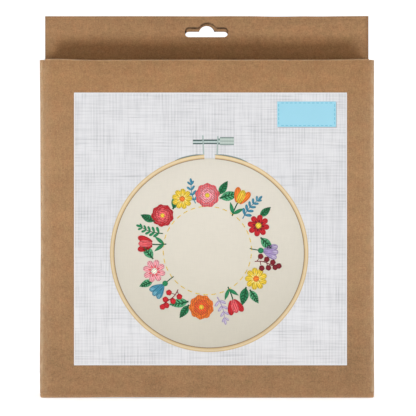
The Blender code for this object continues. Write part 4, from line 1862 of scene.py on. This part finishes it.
@dataclass
class PrintedHoop:
    """The printed picture of a wooden hoop with its screw, and the cream cloth in it."""

    centre_x: float = 1.27
    centre_z: float = 82.25
    outer_radius: float = 56.35
    inner_radius: float = 53.95
    gap_left: float = -2.8
    gap_right: float = 3.5
    upright_share: float = 0.9955

    def _rounds(self, radii: Array, degrees: Array) -> Array:
        """Rails round the hoop's middle, (rails, n, 2), a little flatter than circles."""
        away = polar(degrees) * (1.0, self.upright_share)
        return (self.centre_x, self.centre_z) + np.reshape(radii, (len(radii), -1, 1)) * away

    def cloth(self, films: InkFilms) -> None:
        """Print the cloth: rings about the middle, darker towards the bottom and at the wood.

        Args:
            films: where it is printed.
        """
        shares = np.array([1.0, 0.985, 0.93, 0.75, 0.5, 0.25, 0.0004])
        by_ring = np.array([0.83, 0.935, 0.96, 0.98, 0.995, 1.01, 1.01])
        rails = self._rounds((self.inner_radius + 0.3) * shares, np.linspace(0, 360, 181))
        fall = np.clip((rails[..., 1] - self.centre_z) / self.inner_radius, -1, 1)
        high, low = np.array(linear(227, 221, 207.5)), np.array(linear(214, 208, 192))
        colours = low + (high - low) * smooth((fall + 1) / 2)[..., None]
        films.band(rails, colours, 1.0, by_ring[:, None])

    def ring(self, films: InkFilms) -> None:
        """Print the wooden ring: a band of eight rails, open at the top for the screw.

        Args:
            films: where it is printed.
        """
        start, stop = (math.acos(gap / self.outer_radius) for gap in (self.gap_right, self.gap_left))
        turn = np.linspace(start, stop - 2 * math.pi, 220)
        rails = (
            (53.85, (112, 88, 64)),
            (54.12, (160, 130, 92)),
            (54.35, (203, 174, 128)),
            (54.75, (219, 194, 148)),
            (55.35, (229, 210, 172)),
            (55.95, (222, 198, 152)),
            (56.2, (213, 182, 130)),
            (56.38, (196, 160, 106)),
        )
        radii, colours = (np.array(column) for column in zip(*[(r, linear(*c)) for r, c in rails]))
        shade = 1.0 + 0.035 * np.sin(turn + 0.4) - 0.02 * np.cos(2 * turn)
        films.band(self._rounds(radii, np.degrees(turn)), colours, 2.0, shade)

    def screw(self, films: InkFilms) -> None:
        """Print the metal: strip round the ring's top, threaded rod, collar, barrel and two ears.

        Args:
            films: where it is printed.
        """
        steel = np.array([linear(92, 106, 104), linear(128, 146, 142), linear(150, 166, 162)])
        fade = np.interp(np.arange(30), (0, 7, 22, 29), (0.25, 1, 1, 0.25))
        swell = np.array([56.3, 56.72, 57.05])[:, None] - self.outer_radius
        for start, stop in ((110.2, 93.4), (87.0, 67.2)):
            rails = self._rounds(self.outer_radius + swell * fade, np.linspace(start, stop, 30))
            films.band(rails, steel, 2.5)
        dark, mid, pale = linear(72, 94, 90), linear(128, 152, 146), linear(206, 222, 217)
        edge, body, shine = linear(96, 118, 112), linear(158, 176, 168), linear(200, 212, 205)
        rod, collar = (dark, dark, pale, pale, dark, dark), (mid, dark, pale, mid, dark)
        rod_z = np.array([144.35, 144.95, 145.3, 145.85, 146.2, 146.95])
        barrel_z = (143.75, 144.3, 145.1, 146.0, 146.9, 147.75, 148.4)
        bars = (
            (-8.0, -3.0, rod_z - 0.1, rod, 3.0, 0.16),
            (-3.0, 5.9, rod_z, rod, 3.05, 0.16),
            (5.9, 7.4, (144.1, 144.6, 145.7, 146.7, 147.5), collar, 3.2, 0.0),
            (7.4, 15.35, barrel_z, (edge, body, shine, body, shine, body, edge), 3.1, 0.14),
        )
        for left, right, heights, colours, level, ridge in bars:
            count = int((right - left) / 0.22) if ridge else 5
            tones = 1.0 + ridge * np.where(np.arange(count) % 2, 1.0, -1.0)
            rails = level_rails(np.linspace(left, right, count), heights)
            films.band(rails, np.array(colours), level, tones)
        ear = np.array([linear(112, 140, 134), linear(196, 212, 207), mid])
        for top, foot, high, low in ((-2.35, -1.85, 149.3, 138.4), (6.2, 5.8, 148.9, 138.2)):
            upright = np.linspace(high, low, 5)
            middle = np.interp(upright, (low, high), (foot, top))
            rails = [np.stack([middle + off, upright], -1) for off in (-0.36, 0.0, 0.36)]
            films.band(np.array(rails), ear, 3.6)


@dataclass
class GarlandPrint:
    """The stitched garland in the printed hoop: this project's own round of flowers and leaves."""

    centre_x: float = 0.2
    centre_z: float = 83.8
    radius: float = 31.4
    motif_scale: float = 1.27
    laid: int = 0
    films: InkFilms = field(default_factory=lambda: InkFilms(Ink.THREAD))

    def _lay(
        self,
        at: Placement,
        outline: Array,
        thread: Palette,
        level: float,
        padding: float = 0.2,
        turn: float = 0.0,
    ) -> None:
        """Fill an outline at a place with stitches, turned from the place's own direction."""
        self.films.fill(at.applied(outline), thread.ink(), level, at.turn + turn, padding)

    def _sew(
        self,
        at: Placement,
        along: Array,
        aside: Array,
        width: float | Array,
        thread: Palette,
        level: float,
        share: float = 1.0,
    ) -> None:
        """Stitch a line of points along and aside of a place, in a share of its thread's colour."""
        self.films.stroke(at.applied(np.stack([along, aside], -1)), width, thread.ink() * share, level)

    def leaf(
        self, at: Placement, body: Palette, vein: Palette, length: float, width: float, level: float
    ) -> None:
        """A leaf with slanted stitches, a dark midrib and four pairs of veins.

        Args:
            at: its place.
            body: its colour.
            vein: the veins' colour.
            length: its length.
            width: its width.
            level: height step of the film.
        """
        u = np.linspace(0, 1, 12)
        self._lay(at, blade(length, width), body, level, 0.22, 35)
        along = -0.4 + (length * 0.93 + 0.4) * u
        self._sew(at, along, 0.25 * np.sin(np.pi * u), 1.0 - 0.6 * u, vein, level + 0.6)
        for share in (0.22, 0.4, 0.57, 0.73):
            reach = width * 0.34 * math.sin(math.pi * share**0.8)
            for side in (-1, 1):
                along = length * share + np.linspace(0, reach * 0.95, 4)
                self._sew(at, along, side * np.linspace(0.1, reach, 4), 0.7, vein, level + 0.5)

    def daisy(
        self, at: Placement, outer: Palette, inner: Palette, button: Palette, size: float, petals: int
    ) -> None:
        """A daisy: narrow petals about a button, each with a paler heart stitch.

        Args:
            at: its place.
            outer: the petals' colour.
            inner: the heart stitches' colour.
            button: the button's colour.
            size: how far the petals reach.
            petals: how many.
        """
        for k in range(petals):
            ray = at.within(0, 0, 360 / petals * k + 9)
            self._lay(ray, petal(size, size * 0.62, 0.7), outer, 4.0 + 0.1 * k)
            self._lay(ray, petal(size * 0.55, size * 0.2, 0.3), inner, 5.4, 0.1)
        self._lay(at, disc(size * 0.27), button, 6.0, 0.25, 20)

    def rosette(self, at: Placement, outer: Palette, inner: Palette, heart: Palette, size: float) -> None:
        """A rosette: a scalloped round, then arcs of stitches that wind inwards.

        Args:
            at: its place.
            outer: the outer round's colour.
            inner: the inner round's colour.
            heart: the heart's colour.
            size: its radius.
        """
        self._lay(at, disc(size, 9, 0.06), outer, 4.0)
        self._lay(at, disc(size * 0.66, 7, 0.05), inner, 4.6, 0.2, 50)
        for k, reach in enumerate((0.84, 0.62, 0.42)):
            for j in range(5):
                turn = math.radians(72 * j + 31 * k) + np.linspace(0, 0.95, 8)
                radius = size * reach * (1 - 0.12 * np.linspace(0, 1, 8))
                thread = inner if k == 0 else outer
                self._sew(at, radius * np.cos(turn), radius * np.sin(turn), 0.36, thread, 5.2, 0.72)
        self._lay(at, disc(size * 0.2), heart, 5.8, 0.25)

    def tulip(self, at: Placement, cup: Palette, shade: Palette, size: float) -> None:
        """A tulip on a short stem: two side petals behind a full middle one, and two slim leaves.

        Args:
            at: its place.
            cup: the middle petal's colour.
            shade: the side petals' colour.
            size: how far the petals reach.
        """
        stem = 0.3 * np.sin(np.linspace(0, 2.4, 8))
        self._sew(at, np.linspace(-size * 0.9, 0.4, 8), stem, 0.7, Palette.FOREST, 3.6)
        for side in (-1, 1):
            slim = at.within(-size * 0.75, 0, side * 38)
            self._lay(slim, blade(size * 0.8, size * 0.24), Palette.JADE, 3.8)
            lobe = at.within(0, side * size * 0.12, side * 17)
            self._lay(lobe, petal(size, size * 0.48, 0.35), shade, 4.2)
        self._lay(at, petal(size * 0.92, size * 0.5, 0.2), cup, 4.9, 0.22)
        for side in (-0.5, 0.5):
            aside = side * size * 0.16 * np.linspace(0.6, 1, 6)
            self._sew(at, np.linspace(size * 0.14, size * 0.66, 6), aside, 0.3, shade, 5.3, 0.85)

    def bellflower(self, at: Placement, bell: Palette, rim: Palette, size: float) -> None:
        """A bellflower on a bent stem: three lobes with pale tips, and a green cap.

        Args:
            at: its place.
            bell: the lobes' colour.
            rim: their tips' colour.
            size: how far the lobes reach.
        """
        bend = 0.4 * np.linspace(1, 0, 6) ** 2
        self._sew(at, np.linspace(-size * 0.7, 0.2, 6), bend, 0.55, Palette.FOREST, 3.6)
        for turn, level in ((-21, 4.2), (21, 4.2), (0, 4.6)):
            lobe = at.within(0, 0, turn)
            self._lay(lobe, petal(size, size * 0.44, 0.75), bell, level)
            self._lay(lobe.within(size * 0.66, 0), petal(size * 0.3, size * 0.22, 0.2), rim, 5.0, 0.15)
        self._lay(at.within(-0.3, 0), disc(size * 0.17), Palette.JADE, 5.4)

    def sprig(
        self, at: Placement, body: Palette, stem: Palette, length: float, pairs: int, size: float
    ) -> None:
        """A sprig: a gently bent stem with paired round-ended leaves that shrink towards its tip.

        Args:
            at: its place.
            body: the leaves' colour.
            stem: the stem's colour.
            length: the stem's length.
            pairs: how many pairs of leaves.
            size: the lowest leaves' length.
        """
        u = np.linspace(0, 1, 14)
        self._sew(at, length * u, 0.09 * length * np.sin(0.9 * np.pi * u), 0.6 - 0.25 * u, stem, 3.4)
        for k in range(pairs):
            share = 0.16 + 0.72 * k / (pairs - 1)
            grown = size * (1 - 0.35 * share)
            for side in (-1, 1):
                bend = 0.09 * length * math.sin(0.9 * math.pi * share)
                leaf = at.within(length * share, bend, side * (54 - 16 * share))
                self._lay(leaf, petal(grown, grown * 0.46, 0.3), body, 4.0 + 0.1 * (k % 4))
        tip = at.within(length * 0.93, 0.03 * length)
        self._lay(tip, petal(size * 0.8, size * 0.36, 0.2), body, 4.1)

    def knots(
        self, at: Placement, bead: Palette, stem: Palette, length: float, count: int, size: float
    ) -> None:
        """A spray of knots: a winding stem with round knots on short stalks at alternate sides.

        Args:
            at: its place.
            bead: the knots' colour.
            stem: the stem's colour.
            length: the stem's length.
            count: how many knots.
            size: their radius.
        """
        u, v = np.linspace(0, 1, 16), np.linspace(0, 1, 5)
        self._sew(at, length * u, 0.06 * length * np.sin(5 * u), 0.5, stem, 3.4)
        for k in range(count):
            share = 0.2 + 0.8 * k / (count - 1)
            side = 0.25 if k == count - 1 else 1.0
            root_x, root_z = length * (share - 0.12), 0.06 * length * math.sin(5 * (share - 0.12))
            head_x, head_z = length * share, (-1) ** k * side * length * 0.26 * (1.15 - share)
            along, aside = root_x + (head_x - root_x) * v, root_z + (head_z - root_z) * v
            self._sew(at, along, aside, 0.42, stem, 3.5)
            knot = at.within(head_x, head_z)
            self._lay(knot, disc(size, 5, 0.05), bead, 4.6 + 0.1 * (k % 4), 0.3, 40 * k - at.turn)

    def _at(self, clock: float, reach: float, turn: float) -> Placement:
        """Take the next place on the garland, its films off its neighbours' levels.

        Args:
            clock: degrees clockwise from the top.
            reach: share of the garland's radius.
            turn: turn from straight out, in degrees.

        Returns:
            The placement.
        """
        self.laid += 1
        self.films.lift = 0.35 * (self.laid % 3)
        x, z = (self.centre_x, self.centre_z) + self.radius * reach * polar(90 - clock)
        return Placement(x, z, 90 - clock + turn, self.motif_scale)

    def running_stitch(self) -> None:
        """A round of short yellow stitches inside the garland."""
        for k in range(34):
            run = polar(np.linspace(0, 6.2, 4) + k * 360 / 34) * self.radius * 0.80
            self.films.stroke(run + (self.centre_x, self.centre_z), 0.5, Palette.SUN.ink(), 2.6)

    def build(self) -> Piece:
        """Lay the garland out round the ring and print it as one piece.

        Each row of the table is a motif, its place by the clock, its share of the radius, its turn
        from straight out, and then its own colours and sizes.

        Returns:
            The piece.
        """
        self.running_stitch()
        p = Palette
        layout = (
            (self.rosette, 0, 1.0, 0, p.CORAL, p.BLUSH, p.SUN, 5.3),
            (self.leaf, 14, 0.98, -62, p.LEAF, p.FOREST, 8.6, 4.3, 3.0),
            (self.leaf, 12, 1.04, -20, p.JADE, p.FOREST, 7.2, 3.4, 2.9),
            (self.tulip, 33, 1.02, 8, p.SUN, p.ORANGE, 7.0),
            (self.sprig, 48, 0.86, 6, p.LAGOON, p.LAGOON, 11.5, 5, 3.4),
            (self.leaf, 57, 1.14, 8, p.JADE, p.FOREST, 6.4, 3.2, 2.8),
            (self.daisy, 64, 1.03, 0, p.CRIMSON, p.WINE, p.SUN, 4.9, 8),
            (self.leaf, 77, 1.0, -60, p.LEAF, p.FOREST, 7.6, 3.9, 3.0),
            (self.bellflower, 90, 0.98, -6, p.LILAC, p.LAVENDER, 7.6),
            (self.knots, 103, 0.88, 2, p.WINE, p.WINE, 11.0, 7, 1.25),
            (self.daisy, 120, 1.02, 0, p.SUN, p.STRAW, p.ORANGE, 5.0, 9),
            (self.leaf, 134, 0.97, -58, p.JADE, p.FOREST, 8.2, 4.0, 3.0),
            (self.leaf, 133, 1.06, -14, p.LEAF, p.FOREST, 7.0, 3.4, 2.9),
            (self.tulip, 153, 1.0, -8, p.CORAL, p.CRIMSON, 6.8),
            (self.sprig, 168, 0.86, 4, p.LAVENDER, p.LILAC, 11.0, 4, 3.5),
            (self.rosette, 186, 1.03, 0, p.ORANGE, p.FLAME, p.SUN, 5.4),
            (self.leaf, 201, 0.99, -60, p.LEAF, p.FOREST, 8.6, 4.2, 3.0),
            (self.leaf, 199, 1.05, -16, p.JADE, p.FOREST, 7.0, 3.3, 2.9),
            (self.knots, 217, 0.88, -4, p.CRIMSON, p.WINE, 10.5, 6, 1.3),
            (self.bellflower, 232, 0.98, 6, p.LAGOON, p.SKY, 7.4),
            (self.leaf, 241, 1.13, -6, p.LEAF, p.FOREST, 6.6, 3.3, 2.8),
            (self.daisy, 249, 1.03, 0, p.BLUSH, p.CORAL, p.CREAM, 5.1, 8),
            (self.leaf, 262, 1.0, -62, p.LEAF, p.FOREST, 8.0, 4.0, 3.0),
            (self.tulip, 277, 1.0, 6, p.CORAL, p.CRIMSON, 6.9),
            (self.sprig, 291, 0.86, 2, p.JADE, p.FOREST, 10.8, 5, 3.2),
            (self.leaf, 299, 1.1, 4, p.JADE, p.FOREST, 6.8, 3.4, 2.8),
            (self.rosette, 308, 1.03, 0, p.CRIMSON, p.CORAL, p.SUN, 4.9),
            (self.leaf, 321, 0.98, -60, p.JADE, p.FOREST, 8.0, 3.9, 3.0),
            (self.daisy, 334, 1.04, 0, p.SUN, p.STRAW, p.ORANGE, 4.6, 9),
            (self.sprig, 346, 0.88, -4, p.LAGOON, p.LAGOON, 9.6, 4, 3.2),
        )
        for motif, clock, reach, turn, *looks in layout:
            motif(self._at(clock, reach, turn), *looks)
        return self.films.build("printed_garland")


@dataclass
class SkyPatch:
    """The printed patch at the label's top right: plain sky blue with a dashed stitch border."""

    left: float = 39.95
    right: float = 73.46
    bottom: float = 154.07
    top: float = 168.58
    inset: float = 0.85
    dash: float = 1.5
    pitch: float = 2.5
    dash_width: float = 0.36

    def _dash_line(self, low: float, high: float) -> Array:
        """Centred dashes between two ends of a side.

        Args:
            low: the side's lower end.
            high: its upper end.

        Returns:
            (dashes, 3) places along the side.
        """
        count = int((high - low - 2 * self.inset) / self.pitch)
        start = (low + high - (count - 1) * self.pitch - self.dash) / 2
        return start + np.arange(count)[:, None] * self.pitch + np.linspace(0, self.dash, 3)

    def build(self) -> Piece:
        """Print the shadow, the patch, its darker rims and its dashes.

        Returns:
            The piece.
        """
        films = InkFilms(Ink.PATCH)
        shade, blue = np.array(linear(186, 184, 186)), np.array(linear(161, 219, 238))
        rim, stitch = np.array(linear(138, 200, 222)), np.array(linear(104, 190, 216))
        for shift, colour, level in ((0.42, shade, 0.6), (0.0, blue, 1.4)):
            heights = (self.bottom - shift, self.bottom + 1, self.top - 1, self.top - shift)
            films.band(level_rails(np.linspace(self.left, self.right, 14) + shift, heights), colour, level)
        for foot in (self.bottom, self.top - 0.16):
            films.band(level_rails((self.left, self.right), (foot, foot + 0.16)), rim, 1.8)
        for z in (self.bottom + self.inset, self.top - self.inset):
            for places in self._dash_line(self.left, self.right):
                films.stroke(np.stack([places, np.full(3, z)], -1), self.dash_width, stitch, 2.2)
        for x in (self.left + self.inset, self.right - self.inset):
            for places in self._dash_line(self.bottom, self.top):
                films.stroke(np.stack([np.full(3, x), places], -1), self.dash_width, stitch, 2.2)
        return films.build("printed_patch")


# -------------------- studio


@dataclass(frozen=True)
class SoftLight:
    """One area light: where it stands about the header, its size in metres and its power."""

    name: str
    azimuth: float
    elevation: float
    distance: float
    size: Pair
    power: float
    colour: Colour = (1.0, 1.0, 1.0)

    def build(self, target: Colour) -> None:
        """Place the light, facing its target.

        Args:
            target: the place it faces, in metres.
        """
        azimuth, elevation = math.radians(self.azimuth), math.radians(self.elevation)
        level = math.cos(elevation)
        away = np.array([math.sin(azimuth) * level, -math.cos(azimuth) * level, math.sin(elevation)])
        data = bpy.data.lights.new(self.name, "AREA")
        data.shape = "RECTANGLE"
        data.size, data.size_y = self.size
        data.energy, data.color = self.power, self.colour
        lamp = linked(self.name, data)
        lamp.location = np.array(target) + away * self.distance
        lamp.rotation_euler = (math.pi / 2 - elevation, 0.0, azimuth)
        lamp.visible_camera = False


@dataclass
class Studio:
    """Camera, lights, pale floor and white surround."""

    camera_x: float = 0.00059
    camera_distance: float = 0.994
    camera_z: float = 0.108
    pixels_per_mm: float = 1.758
    target: Colour = (0.0, 0.0, 0.19)
    ambient: float = 0.03
    dome_radius: float = 9.0
    lights: tuple[SoftLight, ...] = (
        SoftLight("high_key", 0.0, 38.0, 0.95, (0.4, 0.4), 2.40, (1.0, 0.955, 0.89)),
        SoftLight("low_right", 30.0, -20.0, 0.42, (0.05, 0.07), 0.387, (1.0, 1.015, 1.05)),
        SoftLight("low_left", -29.0, -20.0, 0.42, (0.07, 0.07), 0.467, (1.0, 1.015, 1.05)),
        SoftLight("side_left", -84.0, 6.0, 1.2, (0.5, 0.7), 7.4),
        SoftLight("side_right", 84.0, 6.0, 1.2, (0.5, 0.7), 7.2),
        SoftLight("rear_left", -142.0, 32.0, 1.3, (0.8, 0.8), 7.0),
        SoftLight("rear_right", 142.0, 32.0, 1.3, (0.8, 0.8), 7.0),
    )

    def _plain(self, name: str, colour: float, near: float, far: float) -> Material:
        """A plain pale finish that gives its own light.

        Args:
            name: its name.
            colour: its grey.
            near: its own light within 0.25 m of the origin.
            far: its own light from 1.6 m on.

        Returns:
            The material.
        """
        r = Recipe(name)
        grey = r.lit((1.0, 1.0, 1.0), r.remap(r.noise(40, rough=0.5), 0.0, 1.0, colour - 0.01, colour))
        r.feed({"Base Color": grey, "Roughness": 1.0, "Specular IOR Level": 0.0})
        glow = r.remap(r.reach(), 0.25, 1.6, near, far)
        r.feed({"Emission Color": (1.0, 1.0, 1.0), "Emission Strength": glow})
        return r.material

    def _surface(self, name: str, points: Array, quads: Array, material: Material) -> Piece:
        """Make a part of the set from points in metres.

        Args:
            name: its name.
            points: its points.
            quads: its faces.
            material: its finish.

        Returns:
            The object, linked to the scene.
        """
        mesh = bpy.data.meshes.new(name)
        mesh.from_pydata(points.tolist(), [], quads.tolist())
        mesh.materials.append(material)
        made = linked(name, mesh)
        return made

    def _floor(self, name: str, size: float, z: float, material: Material) -> Piece:
        """A level square about the origin."""
        corners = np.array([(-1, -1, 0), (1, -1, 0), (1, 1, 0), (-1, 1, 0)]) * size / 2 + (0, 0, z)
        return self._surface(name, corners, np.array([[0, 1, 2, 3]]), material)

    def _surround(self) -> Piece:
        """A dome far round the object: its radius times the cosines and sines of turn and rise.

        Returns:
            The dome.
        """
        turn, rise = np.meshgrid(np.linspace(0, 360, 49)[:-1], np.linspace(-12, 90, 14))
        round_it, upwards = polar(turn), polar(rise)
        points = self.dome_radius * np.concatenate([round_it * upwards[..., :1], upwards[..., 1:]], -1)
        index = np.arange(turn.size).reshape(turn.shape)
        nxt = np.roll(index, -1, axis=1)
        quads = np.stack([index[:-1], index[1:], nxt[1:], nxt[:-1]], -1).reshape(-1, 4)
        white = self._plain("white_surround", 0.9, 1.1, 1.1)
        return self._surface("white_surround", points.reshape(-1, 3), quads, white)

    def build(self) -> None:
        """Set up the world, floor, surround, lights and camera."""
        scene = bpy.context.scene
        scene.view_settings.view_transform = "Standard"
        scene.world = bpy.data.worlds.new("soft_ambient")
        scene.world.use_nodes = True
        background = scene.world.node_tree.nodes["Background"].inputs
        background["Strength"].default_value = self.ambient
        background["Color"].default_value = (1.0, 1.0, 1.0, 1.0)
        floor = self._floor("pale_floor", 24.0, -0.0002, self._plain("pale_floor", 0.86, 0.5, 1.05))
        bounce = self._floor("floor_bounce", 8.0, -0.0012, self._plain("floor_bounce", 0.8, 0.0, 0.0))
        bounce.visible_camera = False
        for seen in (floor, self._surround()):
            seen.visible_diffuse = seen.visible_glossy = seen.visible_shadow = False
        for light in self.lights:
            light.build(self.target)
        lens = bpy.data.cameras.new("photo_camera")
        lens.sensor_width = SENSOR_MM
        lens.lens = SENSOR_MM * self.pixels_per_mm * self.camera_distance / MM / FRAME_PIXELS
        lens.clip_end = 40.0
        camera = linked("photo_camera", lens)
        camera.location = (self.camera_x, FRONT_Y * MM - self.camera_distance, self.camera_z)
        camera.rotation_euler = (math.pi / 2, 0.0, 0.0)
        scene.camera = camera


# -------------------- main


def report(piece: Piece) -> None:
    """Log a piece's name and size."""
    LOG.info("%s: %d points, %d faces", piece.name, len(piece.data.vertices), len(piece.data.polygons))


def main() -> None:
    """Load the frame, build every sub-assembly, and set up the studio."""
    logging.basicConfig(level=logging.INFO, format="%(name)s: %(message)s")
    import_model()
    Studio().build()
    kraft = KraftLiner().material()
    report(CartonShell().build(kraft))
    report(TuckLid().build(kraft))
    report(BottomClosure().build(kraft))
    for end in End:
        for side in Side:
            report(DustFlap(side, end).build(kraft))
    report(FrontLabel().build())
    hoop = PrintedHoop()
    for kind, printer in ((Ink.CLOTH, hoop.cloth), (Ink.WOOD, hoop.ring), (Ink.METAL, hoop.screw)):
        films = InkFilms(kind)
        printer(films)
        report(films.build(f"printed_{kind.name.lower()}"))
    report(GarlandPrint().build())
    report(SkyPatch().build())


if __name__ == "__main__":
    main()
